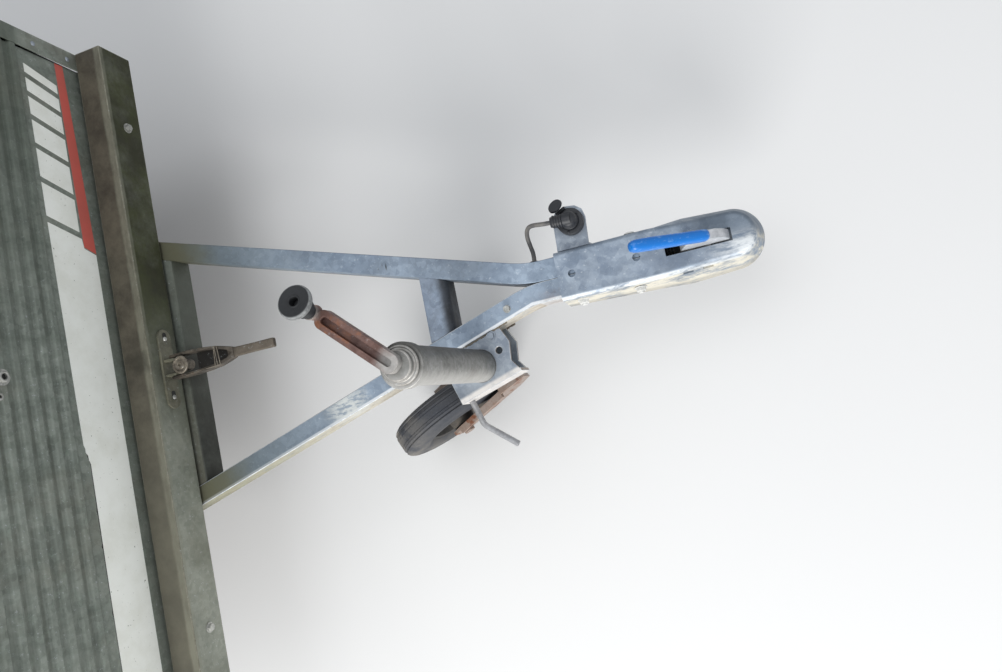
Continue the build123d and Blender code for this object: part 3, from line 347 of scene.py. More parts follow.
def coupling_material():
    """Pressed coupling: grey zinc with smudges, chalky and painted pale as if sunlit down its right side and round
    its head, and a patch of painted shade on its left half behind the head.
    """
    bench = new_material("coupling_zinc", 0.45)
    zinc = bench.zinc((108, 122, 140), (158, 169, 181), (84, 88, 92), 90, 34, 0.30, 0.4)
    ahead, left, up = bench.place()
    broken = bench.patches((24, 60, 60), 6.0, 0.72, 0.36, 0.56)
    rim = bench.between(left, -0.0290, -0.0325)
    head = bench.times(bench.between(ahead, HEAD_X - 0.050, HEAD_X + 0.012), bench.between(left, 0.010, -0.012))
    streaks = bench.patches((20, 90, 60), 6.0, 0.7, 0.40, 0.60)
    # Chalky marks and painted sunlight on the right side face and the lower right of the head
    chalk_and_sunlight = bench.larger(bench.times(rim, broken), bench.times(head, streaks))
    pale = bench.mix(bench.between(up, DECK_Z - 0.002, DECK_Z - 0.010), srgb(226, 229, 230), srgb(222, 216, 200))
    color = bench.cover(zinc["Color"], pale, chalk_and_sunlight, 0.9)
    # Painted shade on the left half just behind the head
    painted_shade_patch = bench.times(bench.between(ahead, HEAD_X - 0.085, HEAD_X - 0.025), bench.between(left, -0.020, 0.014))
    color = bench.cover(color, srgb(84, 96, 108), painted_shade_patch, 0.62)
    foot = bench.times(bench.between(up, DECK_Z - 0.030, DECK_Z - 0.044), rim)
    color = bench.cover(color, srgb(150, 146, 138), foot, 0.5)
    bench.shine(color, bench.plus(zinc["Roughness"], bench.times(chalk_and_sunlight, 0.15)), zinc["Height"])


def rubber_material(name, color, dust, amount):
    """Rubber with a fine grain and dust on what faces up."""
    bench = new_material(name, 0.0, 0.75)
    dark = srgb(*color)
    grain = bench.noise(300.0)
    base = bench.mix(grain, dark, (*(min(1.0, 1.9 * share) for share in dark[:3]), 1.0))
    dusty = bench.group(DUST, Base=base, Dust=srgb(*dust), Amount=amount)
    bench.shine(dusty["Color"], bench.between(dusty["Mask"], 0, 1, 0.62, 0.92), grain)


def jockey_tyre_material():
    """Solid tyre, blue-black, with dry mud in its tread and round its foot."""
    bench = new_material("jockey_tyre", 0.0, 0.8)
    grain = bench.noise(300.0)
    base = bench.mix(grain, srgb(34, 36, 42), srgb(58, 62, 70))
    ahead, left, up = bench.place()
    drift = bench.patches(24.0, 6.0, 0.7, 0.34, 0.64)
    mud = bench.times(drift, bench.between(ahead, JOCKEY_X - 0.10, JOCKEY_X - 0.215, 0.12, 0.9))
    low = bench.times(drift, bench.between(up, 0.17, 0.08, 0.0, 0.6))
    color = bench.mix(bench.larger(mud, low), base, srgb(116, 112, 106))
    bench.shine(color, bench.between(mud, 0, 1, 0.66, 0.92), grain)


def plastic_material(name, color, wear_and_sheen, roughness, worn_and_sheen):
    """Moulded plastic, scuffed pale in streaks across; on the blue grip the pale streaks are partly painted gloss
    highlights.
    """
    bench = new_material(name, 0.0, roughness)
    scuffs_and_sheen = bench.patches((36, 144, 144), 5.0, 0.7, 0.52, 0.72)
    color = bench.cover(srgb(*color), srgb(*wear_and_sheen), scuffs_and_sheen, worn_and_sheen)
    bench.shine(color, bench.between(scuffs_and_sheen, 0, 1, roughness, roughness + 0.25), bench.noise(700.0, 2.0), 0.0001, 0.3)


def box_sheet_material():
    """Outer sheets of the box: green-grey mottled spangle, darker patches along the rib valleys, streaks down the
    sheet and painted shade on the front sheet's left part above the band.
    """
    bench = new_material("box_sheet", 0.25)
    zinc = bench.zinc((92, 99, 92), (146, 153, 144), (88, 90, 78), 130, 24, 0.35)
    ahead, left, up = bench.place()
    rib = bench.maths("FRACT", bench.maths("DIVIDE", bench.minus(up, BAND_TOP), RIB_PITCH))
    # Darker in patches along the rib valleys
    valley = bench.times(bench.between(bench.maths("ABSOLUTE", bench.minus(rib, 0.81)), 0.16, 0.05),
                         bench.between(up, BAND_TOP - 0.004, BAND_TOP))
    dirt = bench.patches((7, 7, 30), 5.0, 0.7, 0.32, 0.66)
    color = bench.cover(zinc["Color"], srgb(76, 80, 70), bench.times(valley, dirt), 0.60)
    streaks = bench.patches((38, 38, 2.2), 4.0, 0.6, 0.48, 0.75)
    color = bench.cover(color, srgb(82, 90, 80), streaks, 0.4)
    stain = bench.patches((9, 9, 3), 4.0, 0.6, 0.46, 0.66)
    color = bench.cover(color, srgb(112, 104, 90), stain, 0.30)
    bloom = bench.patches((150, 60, 60), 5.0, 0.75, 0.52, 0.72)
    color = bench.cover(color, srgb(142, 158, 144), bloom, 0.26)
    foot = bench.between(up, SILL_TOP + 0.016, SILL_TOP - 0.004)
    color = bench.cover(color, srgb(84, 84, 74), foot, 0.22)
    # Painted shade: the front sheet darker towards its left above the band
    shaded = bench.times(bench.between(left, -0.05, 0.40), bench.between(up, BAND_TOP - 0.006, BAND_TOP + 0.006))
    shaded = bench.times(shaded, bench.between(ahead, PANEL_X - 0.045, PANEL_X - 0.030))
    color = bench.cover(color, srgb(70, 78, 68), shaded, 0.62)
    bench.shine(color, zinc["Roughness"], zinc["Height"])


def sill_material():
    """Front rail: brown silt on its ledge, moss on its face towards the left, a painted highlight in patches along
    the rounded fold between them, dark oil round the latch.
    """
    bench = new_material("sill_sheet", 0.15)
    zinc = bench.zinc((106, 111, 100), (156, 159, 147), (98, 98, 80), 140, 14, 0.5)
    ahead, left, up = bench.place()
    film = bench.plus(bench.times(bench.patches(11.0, 7.0, 0.72, 0.30, 0.62), 0.24), 0.76)
    film = bench.times(film, bench.between(left, -0.22, 0.20))
    moss = bench.mix(bench.patches(9.0, 5.0, 0.7, 0.35, 0.62), srgb(38, 43, 25), srgb(64, 72, 33))
    moss = bench.mix(bench.noise(120.0, 4.0, 0.7), moss, srgb(52, 50, 34))
    face = bench.mix(film, zinc["Color"], moss)
    silt = bench.mix(bench.patches(16.0, 6.0, 0.72, 0.3, 0.7), srgb(60, 55, 46), srgb(92, 87, 74))
    silt = bench.mix(bench.between(left, 0.1, -0.3, 0.0, 0.45), silt, srgb(106, 105, 92))
    color = bench.mix(bench.between(bench.facing()[2], 0.5, 0.9), face, silt)
    # Painted highlight along the rounded fold between ledge and face, broken up in patches
    worn_and_sheen = bench.patches((60, 22, 60), 6.0, 0.75, 0.28, 0.66, 0.35, 1.0)
    lip = bench.times(bench.minus(SILL_TOP, up), 1.7)
    lip = bench.plus(lip, bench.minus(SILL_X, ahead))
    lip = bench.plus(lip, bench.times(bench.noise(26.0, 5.0, 0.7), 0.007))
    lip = bench.times(bench.between(lip, 0.0185, 0.0125), worn_and_sheen)
    color = bench.cover(color, srgb(130, 130, 115), lip, 0.62)
    oil = bench.spot((SILL_X - 0.020, 0.018, SILL_TOP), 0.050, 0.035)
    oil = bench.larger(oil, bench.spot((SILL_X, 0.0, LATCH_Z), 0.048, 0.03))
    color = bench.cover(color, srgb(44, 42, 32), oil, 0.7)
    bench.shine(color, bench.between(film, 0, 1, 0.55, 0.85), zinc["Height"], 0.0004)


def crossmember_material(name, tones, front_x, fold, shade_left, shade_right):
    """Cross member: plain zinc on top, its front wall painted dark as shade and darkest towards the right tube, a
    painted shadow by the right tube near its front, and a dark spot under the latch.
    """
    bench = new_material(name, 0.3)
    zinc = bench.zinc(*tones, 150, 14, 0.5)
    ahead, left, up = bench.place()
    # Painted shadow of the right tube near the front of the top
    corner = bench.times(bench.between(left, -0.02, -0.19), bench.between(ahead, front_x - 0.05, front_x))
    color = bench.cover(zinc["Color"], srgb(74, 66, 50), corner, 0.55)
    # Painted shade on the front wall, darkest towards the right tube
    wall = bench.mix(bench.between(left, 0.12, -0.12), srgb(*shade_left), srgb(*shade_right))
    wall = bench.cover(wall, zinc["Color"], bench.patches(30.0, 6.0, 0.7, 0.25, 0.7), 0.22)
    color = bench.mix(bench.between(ahead, front_x - fold, front_x - fold * 0.3), color, wall)
    # Dark spot under the latch
    oil = bench.spot((SILL_X + 0.014, 0.005, DECK_Z - 0.014), 0.058, 0.020)
    color = bench.cover(color, srgb(34, 32, 27), oil, 0.8)
    bench.shine(color, zinc["Roughness"], zinc["Height"])


def latch_lever_material():
    """Forged latch lever: black oil round its fork with painted shade on the inner faces of its arms, dry brown steel
    towards the end of its handle.
    """
    bench = new_material("latch_lever_steel", 0.3)
    zinc = bench.zinc((78, 71, 62), (112, 103, 91), (60, 50, 40), 220, 30, 0.5)
    ahead, left, up = bench.place()
    rusty = bench.rusted(zinc["Color"], 0.34)
    fork = bench.between(ahead, SILL_X + 0.148, SILL_X + 0.112)
    patches = bench.patches(46.0, 4.0, 0.6, 0.40, 0.62)
    # Painted shade along with oil on the inner faces of the fork's arms
    inside = bench.between(bench.maths("ABSOLUTE", bench.minus(left, LATCH_Y)), 0.0160, 0.0135)
    depth = bench.larger(bench.times(patches, 0.62), bench.times(inside, 0.5))
    color = bench.mix(bench.times(fork, bench.plus(depth, 0.16)), rusty, srgb(40, 36, 32))
    bench.shine(color, zinc["Roughness"], zinc["Height"])


def crank_material():
    """Crank arm: brown steel whose two ends have kept their plating."""
    bench = new_material("crank_steel", 0.3)
    steel = bench.zinc((84, 60, 54), (126, 97, 88), (62, 44, 38), 260, 30, 0.5)
    rusty = bench.rusted(steel["Color"], 0.42)
    plated = bench.mix(bench.noise(90.0, 5.0, 0.7), srgb(104, 101, 98), srgb(196, 194, 190))
    hub = bench.spot((JOCKEY_X, JOCKEY_Y, TUBE_TOP + 0.018), 0.034, 0.012)
    bush = bench.spot((KNOB_FOOT.x, KNOB_FOOT.y, TUBE_TOP + 0.032), 0.019, 0.006)
    bench.shine(bench.mix(bench.larger(hub, bush), rusty, plated), steel["Roughness"], steel["Height"])


def jockey_tube_material():
    """Jockey tube: scuffed plating, with painted shade on its left side and painted light on its right."""
    bench = new_material("jockey_tube_zinc", 0.5)
    zinc = bench.zinc((102, 102, 99), (156, 156, 153), (88, 82, 72), 220, 22, 0.4)
    ahead, left, up = bench.place()
    rings = bench.noise((8, 8, 120), 4.0, 0.7)
    # Painted shade on the left side and painted light on the right side, broken up in rings
    side = bench.plus(left, bench.times(bench.minus(rings, 0.5), 0.010))
    painted_shade_side = bench.between(side, JOCKEY_Y - 0.004, JOCKEY_Y + 0.020)
    painted_lit_side = bench.between(side, JOCKEY_Y - 0.004, JOCKEY_Y - 0.022)
    color = bench.cover(zinc["Color"], srgb(66, 64, 60), painted_shade_side, 0.75)
    color = bench.cover(color, srgb(186, 184, 180), painted_lit_side, 0.65)
    bench.shine(color, zinc["Roughness"], zinc["Height"])


def bracket_material():
    """Jockey bracket: grey zinc on top, brown front faces, its outer fold and the faces that look right painted pale
    as if sunlit.
    """
    bench = new_material("bracket_zinc", 0.4)
    zinc = bench.zinc((110, 120, 134), (166, 174, 182), (92, 92, 92), 110, 30, 0.3)
    faces_ahead, faces_left, faces_up = bench.facing()
    ahead, left, up = bench.place()
    out = bench.plus(bench.times(bench.minus(ahead, JOCKEY_X), OUTWARD.x),
                     bench.times(bench.minus(left, JOCKEY_Y), OUTWARD.y))
    # Painted sunlight on the outer fold and on faces that look right, broken up in streaks
    fold = bench.larger(bench.between(faces_left, -0.35, -0.75), bench.between(out, 0.0260, 0.0310))
    front = bench.times(bench.between(faces_ahead, 0.35, 0.75), bench.between(faces_up, 0.7, 0.4))
    streaks = bench.patches((40, 40, 12), 5.0, 0.7, 0.25, 0.55, 0.5, 1.0)
    color = bench.cover(zinc["Color"], srgb(216, 212, 208), fold, streaks)
    color = bench.cover(color, srgb(132, 114, 98), front, 0.75)
    bench.shine(color, zinc["Roughness"], zinc["Height"], 0.0002, 0.4)


def knob_material():
    """Crank knob: black rubber, with a painted highlight in patches round the side of its disc."""
    bench = new_material("knob_rubber", 0.0, 0.7)
    grain = bench.noise(300.0)
    base = bench.mix(grain, srgb(18, 20, 22), srgb(36, 38, 41))
    lean = PARK.to_3x3() @ KNOB_LEAN
    offset = bench.add("VectorMath", {0: bench.coords, 1: PARK @ KNOB_FOOT}, operation="SUBTRACT").outputs[0]
    sideways = bench.add("VectorMath", {0: offset, 1: lean}, operation="CROSS_PRODUCT").outputs[0]
    from_axis = bench.add("VectorMath", {0: sideways}, operation="LENGTH").outputs["Value"]
    # Painted highlight round the side of the disc
    lit_flank = bench.between(from_axis, 0.0178, 0.0192)
    patchy = bench.patches(80.0, 5.0, 0.7, 0.30, 0.62, 0.35, 0.9)
    color = bench.cover(base, srgb(150, 152, 152), lit_flank, patchy)
    bench.shine(color, bench.between(lit_flank, 0, 1, 0.62, 0.85), grain)


def decal_material(name, color, aged):
    """Printed film stuck on the sheet, with pin-holes and faint yellowing."""
    bench = new_material(name, 0.0, 0.45)
    ageing = bench.patches(16.0, 5.0, 0.65, 0.35, 0.75)
    pits = bench.patches(260.0, 2.0, 0.55, 0.7, 0.76)
    tone = bench.cover(srgb(*color), srgb(*aged), ageing, 0.6)
    bench.shine(bench.mix(pits, tone, srgb(120, 124, 112)), None, ageing, 0.0002, 0.3)


def plywood_material():
    """Film-faced floor board with its pressed wire pattern, scuffed along the middle."""
    bench = new_material("floor_film")
    grid = bench.add("TexBrick", {
        "Vector": bench.coords, "Scale": 110.0, "Mortar Size": 0.06, "Color1": (1, 1, 1, 1),
        "Color2": (0.9, 0.9, 0.9, 1), "Mortar": (0, 0, 0, 1)}).outputs[0]
    scuff = bench.patches((6, 54, 18), 6.0, 0.7, 0.45, 0.72)
    film = bench.mix(bench.noise(8.0, 4.0), srgb(64, 44, 32), srgb(86, 62, 46))
    color = bench.cover(film, srgb(128, 112, 92), scuff, 0.55)
    bench.shine(color, bench.between(scuff, 0, 1, 0.4, 0.75), grid, 0.0005)


def lens_material(name, color):
    """Moulded lamp lens with fine prisms behind the surface."""
    bench = new_material(name, 0.0, 0.12, coat=0.4)
    prisms = bench.add("TexVoronoi", {"Vector": bench.coords, "Scale": 220.0}).outputs[0]
    clear = srgb(*color)
    dark = (*(0.45 * share for share in clear[:3]), 1.0)
    bench.shine(bench.mix(bench.between(prisms, 0.2, 0.7), clear, dark), None, prisms, 0.0006, 0.4)


# Finishes with a builder in common; tones are seen as 0 to 255. The numbers of a zinc or steel finish are
# its crystals' and its blotches' scale, its grime, how metallic it is and its share of rust
FINISHES = (
    (zinc_material, (
        ("fitting_zinc", (112, 122, 136), (168, 176, 184), (92, 92, 92), 110, 30, 0.30, 0.55, 0),
        # Lighter rounded edges: rubbed zinc together with a painted highlight along the edges
        ("worn_edge", (150, 158, 166), (206, 210, 212), (112, 112, 106), 200, 60, 0.35, 0.40, 0),
        ("hub_edge", (122, 118, 112), (190, 188, 184), (100, 88, 74), 200, 46, 0.50, 0.40, 0),
        ("silted_edge", (94, 93, 80), (138, 136, 121), (84, 82, 66), 260, 70, 0.60, 0.20, 0),
        ("dull_rod", (136, 137, 140), (186, 187, 190), (104, 92, 80), 300, 40, 0.35, 0.55, 0),
        ("jockey_steel", (98, 98, 96), (150, 150, 148), (86, 78, 66), 220, 22, 0.50, 0.50, 0.30),
        ("rusted_zinc", (134, 118, 108), (172, 160, 152), (122, 92, 72), 200, 30, 0.50, 0.30, 0.44),
        ("latch_mount", (86, 86, 74), (126, 124, 106), (62, 58, 42), 220, 30, 0.50, 0.30, 0.22),
        # Pale zinc of the coupling lever, lightened partly as a painted highlight along its top
        ("lever_zinc", (160, 163, 168), (220, 221, 224), (104, 104, 104), 160, 40, 0.25, 0.45, 0),
        ("latch_steel", (62, 60, 50), (104, 98, 84), (52, 46, 34), 220, 30, 0.60, 0.35, 0.36),
        ("frame_zinc", (112, 118, 122), (160, 166, 168), (98, 92, 78), 140, 10, 0.45, 0.55, 0),
        ("bright_bolt", (132, 134, 132), (206, 206, 200), (104, 96, 82), 300, 40, 0.30, 0.70, 0),
        ("wheel_silver", (146, 149, 152), (190, 193, 196), (112, 104, 92), 400, 8, 0.30, 0.35, 0),
        # Pale bolts, made light as painted sunlight on the nuts down the coupling's right side
        ("chalky_bolt", (186, 187, 186), (236, 236, 232), (140, 132, 120), 300, 80, 0.25, 0.10, 0),
        ("latch_boss", (70, 62, 54), (150, 142, 128), (48, 38, 30), 300, 80, 0.40, 0.50, 0.30),
        ("weld", (86, 76, 62), (138, 130, 116), (84, 62, 44), 300, 60, 0.60, 0.40, 0.30),
        ("fork_edge", (140, 114, 98), (190, 168, 152), (120, 82, 60), 220, 50, 0.45, 0.20, 0.30),
        # Near-black oily steel, dark also as painted shade under the latch's fork
        ("oily_steel", (30, 28, 26), (54, 50, 46), (24, 20, 16), 220, 30, 0.60, 0.30, 0))),
    (crossmember_material, (
        # The last two tones of a cross member are the painted shade of its front wall at its left and right end
        ("crossmember_zinc", ((88, 94, 86), (126, 132, 124), (78, 72, 58)), CROSSMEMBER_FRONT, 0.004,
         (86, 90, 81), (44, 45, 40)),
        ("brace_zinc", ((96, 109, 126), (144, 157, 174), (86, 90, 94)), BRACE_FRONT, 0.019,
         (50, 51, 53), (38, 38, 40)))),
    (rubber_material, (
        ("dusty_rim", (46, 45, 44), (120, 110, 98), 0.60), ("slot_shadow", (20, 20, 18), (46, 44, 38), 0.30),
        ("road_tyre", (34, 34, 36), (112, 106, 96), 0.35), ("black_rubber", (28, 28, 30), (96, 92, 84), 0.40),
        ("cable_sheath", (56, 56, 58), (150, 146, 138), 0.75))),
    (plastic_material, (
        # On the blue grip the pale streaks are partly scuffing and partly painted gloss highlights
        ("blue_grip", (6, 108, 192), (170, 208, 236), 0.32, 0.55),
        ("dark_plastic", (36, 38, 43), (94, 92, 90), 0.50, 0.40),
        ("lamp_housing", (26, 26, 28), (70, 70, 70), 0.45, 0.20),
        ("plate_white", (214, 215, 210), (176, 174, 164), 0.35, 0.40))),
    (decal_material, (
        ("band_white", (236, 238, 232), (214, 215, 204)), ("stripe_red", (198, 92, 82), (172, 90, 80)))),
    (lens_material, (
        ("lens_red", (196, 22, 20)), ("lens_amber", (236, 130, 20)), ("lens_clear", (226, 228, 228)))),
)
for build, rows in FINISHES:
    for row in rows:
        build(*row)
for build in (drawbar_material, coupling_material, crank_material, bracket_material, jockey_tube_material,
              latch_lever_material, knob_material, box_sheet_material, sill_material, jockey_tyre_material,
              plywood_material):
    build()


# Mesh building
def draw(body, slot, name, build, material, bevel=0.0):
    """Makes a piece with build(bmesh) on the level trailer and stands it in the frame."""
    bm = bmesh.new()
    build(bm)
    bm.transform(PARK)
    return finish_piece(name, bm, material, body, bevel)


def finish_piece(name, bm, material, body, bevel, sharp=35.0, edges=None):
    """Turns a bmesh that stands in the frame into a finished object that rides on a body.

    Edges turned by more than sharp degrees are rounded; edges names the finish of the rounding.
    """
    bmesh.ops.recalc_face_normals(bm, faces=bm.faces)
    for face in bm.faces:
        face.smooth = True
    for edge in bm.edges:
        edge.smooth = len(edge.link_faces) == 2 and edge.calc_face_angle(0) < radians(sharp)
    mesh = bpy.data.meshes.new(name)
    bm.to_mesh(mesh)
    bm.free()
    piece = bpy.data.objects.new(name, mesh)
    bpy.context.scene.collection.objects.link(piece)
    mesh.materials.append(MATERIALS[material])
    if edges:
        mesh.materials.append(MATERIALS[edges])
    if bevel:
        rounding = piece.modifiers.new("rounded_edges", "BEVEL")
        rounding.width = bevel
        rounding.segments = 2
        rounding.limit_method = "ANGLE"
        rounding.angle_limit = radians(sharp)
        rounding.harden_normals = True
        rounding.material = 1 if edges else -1
    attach(piece, body)
    return piece


# Finish of the CAD nodes
BODY_OF = {node: body for body, nodes in frame["record"]["behaviour"]["bodies"].items() for node in nodes}


def dress(node, material, bevel, edges=None, sharp=35.0):
    """Stands a merged copy with rounded edges and a finish for a CAD node."""
    bm = bmesh.new()
    bm.from_mesh(frame["nodes"][node].data)
    bmesh.ops.remove_doubles(bm, verts=bm.verts, dist=0.00001)
    bmesh.ops.dissolve_limit(bm, angle_limit=radians(0.6), verts=bm.verts, edges=bm.edges)
    piece = finish_piece(node + "_finished", bm, material, BODY_OF[node], bevel, sharp, edges)
    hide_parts(node)


# Shapes that several pieces use
WASHER_THICK, BOLT_HEIGHT, RIPPLE_PITCH = 0.0015, 0.0045, 0.0032


def slab(bm, low, high):
    """Box from its lowest to its highest corner."""
    size = Vector(high) - Vector(low)
    middle = (Vector(high) + Vector(low)) / 2
    bmesh.ops.create_cube(bm, size=1, matrix=Matrix.Translation(middle) @ Matrix.Diagonal((*size, 1)))


def along(start, end):
    """Matrix that lays the Z axis from start to end, with its origin half-way."""
    run = Vector(end) - Vector(start)
    return Matrix.Translation((Vector(start) + Vector(end)) / 2) @ run.to_track_quat("Z", "Y").to_matrix().to_4x4()


def rod(bm, start, end, radius, end_radius=None, segments=24):
    """Round bar from start to end, tapered where the end has a radius of its own."""
    end_radius = radius if end_radius is None else end_radius
    length = (Vector(end) - Vector(start)).length
    bmesh.ops.create_cone(bm, cap_ends=True, segments=segments, radius1=radius, radius2=end_radius, depth=length,
                          matrix=along(start, end))


def lathe(bm, profile, centre, axis, steps):
    """Turns a profile of (distance from the axis, distance along it) about an axis."""
    axis = Vector(axis).normalized()
    side = axis.orthogonal().normalized()
    points = [Vector(centre) + side * radius + axis * distance for radius, distance in profile]
    verts = [bm.verts.new(point) for point in points]
    edges = [bm.edges.new(pair) for pair in zip(verts, verts[1:])]
    bmesh.ops.spin(bm, geom=verts + edges, cent=Vector(centre), axis=axis, angle=2 * pi, steps=steps,
                   use_merge=True, use_duplicate=False)
    bmesh.ops.remove_doubles(bm, verts=bm.verts, dist=0.00002)


def bolt(bm, foot, axis, across, washer):
    """Hexagon head, so wide across its flats, on a washer of a radius."""
    axis, foot = Vector(axis).normalized(), Vector(foot)
    seat, corner = foot + axis * WASHER_THICK, across / 2 / cos(pi / 6)
    rod(bm, foot, seat, washer, segments=28)
    rod(bm, seat, seat + axis * BOLT_HEIGHT, corner, corner * 0.97, segments=6)


def dome(bm, foot, axis, radius, height):
    """Rivet or coach-bolt head: a flattened half ball."""
    axis = Vector(axis).normalized()
    round_part = [(radius * cos(turn), height * sin(turn)) for turn in (pi / 8, pi / 4, 3 * pi / 8)]
    profile = [(radius, 0), *round_part, (0, height)]
    lathe(bm, profile, foot, axis, 20)


def weld_bead(bm, start, end, radius):
    """Row of overlapping weld ripples."""
    start, end = Vector(start), Vector(end)
    count = max(2, int((end - start).length / RIPPLE_PITCH))
    for number in range(count + 1):
        place = start.lerp(end, number / count)
        wobble = 1 + 0.18 * sin(number * 2.1) + 0.1 * sin(number * 5.3)
        bmesh.ops.create_icosphere(bm, subdivisions=1, radius=radius * wobble,
                                   matrix=Matrix.Translation(place) @ Matrix.Diagonal((1, 1, 0.7, 1)))


# CAD nodes that keep their shape: material, rounding of their edges, the nodes, and where they differ the
# finish of the rounded edges and the angle that counts as an edge
DRESSED = (
    ("drawbar_zinc", 0.0022, ("drawbar_left",)),
    ("drawbar_zinc", 0.0022, ("drawbar_right",), "worn_edge"),
    ("black_rubber", 0.0008, ("rest_buffers", "cable_gland")),
    ("frame_zinc", 0.0006, ("axle_beam", "tipping_ears", "floor_rails", "rear_sill", "tipping_lugs")),
    ("frame_zinc", 0.0012, ("swing_arm_left", "swing_arm_right")),
    ("frame_zinc", 0.0005, ("hub_left", "hub_right", "mudguard_stays")),
    ("frame_zinc", 0.0008, ("lamp_bar",)),
    ("wheel_silver", 0.0005, ("rim_left", "rim_right")),
    ("coupling_zinc", 0.0006, ("coupling_body",)),
    ("lever_zinc", 0.0010, ("coupling_handle",), "worn_edge"),
    ("fitting_zinc", 0.0005, ("plug_plate",)),
    ("fitting_zinc", 0.0004, ("gate_knuckles", "box_knuckles")),
    ("dark_plastic", 0.0010, ("plug_holder",)),
    ("bracket_zinc", 0.0006, ("jockey_bracket",), "worn_edge"),
    ("dull_rod", 0.0003, ("clamp_handle",)),
    ("jockey_tube_zinc", 0.0010, ("jockey_tube",)),
    ("jockey_tube_zinc", 0.0018, ("crank_hub",), "hub_edge"),
    ("jockey_steel", 0.0004, ("jockey_slide",)),
    ("rusted_zinc", 0.0006, ("jockey_fork",), "fork_edge"),
    ("rusted_zinc", 0.0005, ("jockey_axle_bolt",)),
    ("dusty_rim", 0.0005, ("jockey_rim",)),
    ("crank_steel", 0.0012, ("crank_arm",)),
    ("sill_sheet", 0.0030, ("front_sill",), "silted_edge"),
    ("box_sheet", 0.0006, ("mudguard_left", "mudguard_right")),
    ("box_sheet", 0.0010, ("front_posts", "rear_posts")),
    ("box_sheet", 0.0016, ("front_panel",), None, 25.0),
    ("box_sheet", 0.0012, ("side_panel_left", "side_panel_right", "tailgate_panel"), None, 25.0),
    ("floor_film", 0.0006, ("floor_board",)),
    ("latch_steel", 0.0008, ("gate_catches",)),
    ("plate_white", 0.0006, ("number_plate",)),
)
for material, rounding, nodes, *edge_looks in DRESSED:
    for node in nodes:
        dress(node, material, rounding, *edge_looks)


# Printed films on the front sheet: outlines as (across, above the drawbar)
BAND = ((-0.511, 0.088), (0.1985, 0.088), (0.2065, 0.110), (0.2215, 0.112), (0.2380, 0.172), (0.120, 0.171),
        (-0.060, 0.1695), (-0.098, 0.169), (-0.104, 0.1668), (-0.109, 0.1672), (-0.114, 0.1640), (-0.121, 0.1635),
        (-0.127, 0.1612), (-0.300, 0.1622), (-0.511, 0.1618))
STRIPE = ((0.2005, 0.0875), (0.511, 0.0965), (0.511, 0.1120), (0.2085, 0.1095))
BARS = ((0.232, 0.052), (0.293, 0.044), (0.346, 0.036), (0.391, 0.028), (0.428, 0.021), (0.458, 0.014))
BAR_FOOT, BAR_TOP, BAR_LEAN = 0.1145, 0.1720, 0.0160
FILM = 0.0003

# Bolt and hollow rivet in the front sheet, as (across, above the drawbar)
PANEL_BOLT, PANEL_RIVET = (0.003, 0.288), (-0.023, 0.295)
FIXING_FACE = PANEL_X - 0.0002
SILL_BOLT_Y = 0.409

# Latch plate on the sill, and the lever's fork, drawn from its pin
LATCH_THICK, CHEEK_THICK = 0.0040, 0.0040
LATCH_FACE = SILL_X + 0.0001 + LATCH_THICK
LATCH_PIN = Vector((LEVER_X, LATCH_Y, LATCH_Z))


def pushed(bm, points, run):
    """Flat shape through the points, pushed along a run into a solid; gives its far corners."""
    face = bm.faces.new([bm.verts.new(point) for point in points])
    made = bmesh.ops.extrude_face_region(bm, geom=[face], use_keep_orig=True)
    corners = [part for part in made["geom"] if isinstance(part, bmesh.types.BMVert)]
    bmesh.ops.translate(bm, verts=corners, vec=run)
    return corners


def film(bm, outline, face_x=PANEL_FACE, thickness=FILM):
    """Thin sheet on a face that looks ahead, from its outline as (across, above the drawbar)."""
    pushed(bm, [(face_x, across, DECK_Z + up) for across, up in outline], (thickness, 0, 0))


def at(ahead, across, up):
    """Place from the coupling's zero point, on top of the drawbar."""
    return Vector((COUPLING_X + ahead, across, DECK_Z + up))


def band_tears(bm):
    """Dark ragged line where the band's upper edge has lifted, towards the right."""
    torn = ((-0.112, 0.1662), (-0.127, 0.1622), (-0.190, 0.1627), (-0.196, 0.1640), (-0.201, 0.1629),
            (-0.243, 0.1630), (-0.247, 0.1648), (-0.251, 0.1631), (-0.300, 0.1632), (-0.338, 0.1630),
            (-0.343, 0.1642), (-0.349, 0.1629), (-0.420, 0.1627), (-0.505, 0.1623))
    film(bm, (*torn, (-0.505, 0.1600), (-0.127, 0.1600), (-0.112, 0.1630)), thickness=FILM * 0.6)


def front_bars(bm):
    """Slanted bars that grow narrower to the left."""
    for across, width in BARS:
        film(bm, ((across, BAR_FOOT), (across + width, BAR_FOOT), (across + width + BAR_LEAN, BAR_TOP),
                  (across + BAR_LEAN, BAR_TOP)))


def panel_fixings(bm):
    """Socket-headed bolt through the front sheet, with the hollow rivet beside it."""
    head = ((0.0, 0.0014), (0.0042, 0.0014), (0.0044, 0.0050), (0.0060, 0.0056), (0.0078, 0.0044), (0.0080, 0.0016),
            (0.0112, 0.0012), (0.0114, -0.0006), (0.0, -0.0006))
    rivet = ((0.0, 0.0004), (0.0020, 0.0004), (0.0024, 0.0018), (0.0036, 0.0019), (0.0052, 0.0006),
             (0.0053, -0.0004), (0.0, -0.0004))
    for (across, up), profile, steps in ((PANEL_BOLT, head, 40), (PANEL_RIVET, rivet, 32)):
        lathe(bm, profile, (FIXING_FACE, across, DECK_Z + up), (1, 0, 0), steps)


def panel_sockets(bm):
    """Dark hollows in the bolt's head and the rivet."""
    for (across, up), radius, depth in ((PANEL_BOLT, 0.0041, 0.0018), (PANEL_RIVET, 0.0019, 0.0008)):
        disc = ((0.0, depth), (radius, depth), (radius, 0.0), (0.0, 0.0))
        lathe(bm, disc, (FIXING_FACE, across, DECK_Z + up), (1, 0, 0), 24)


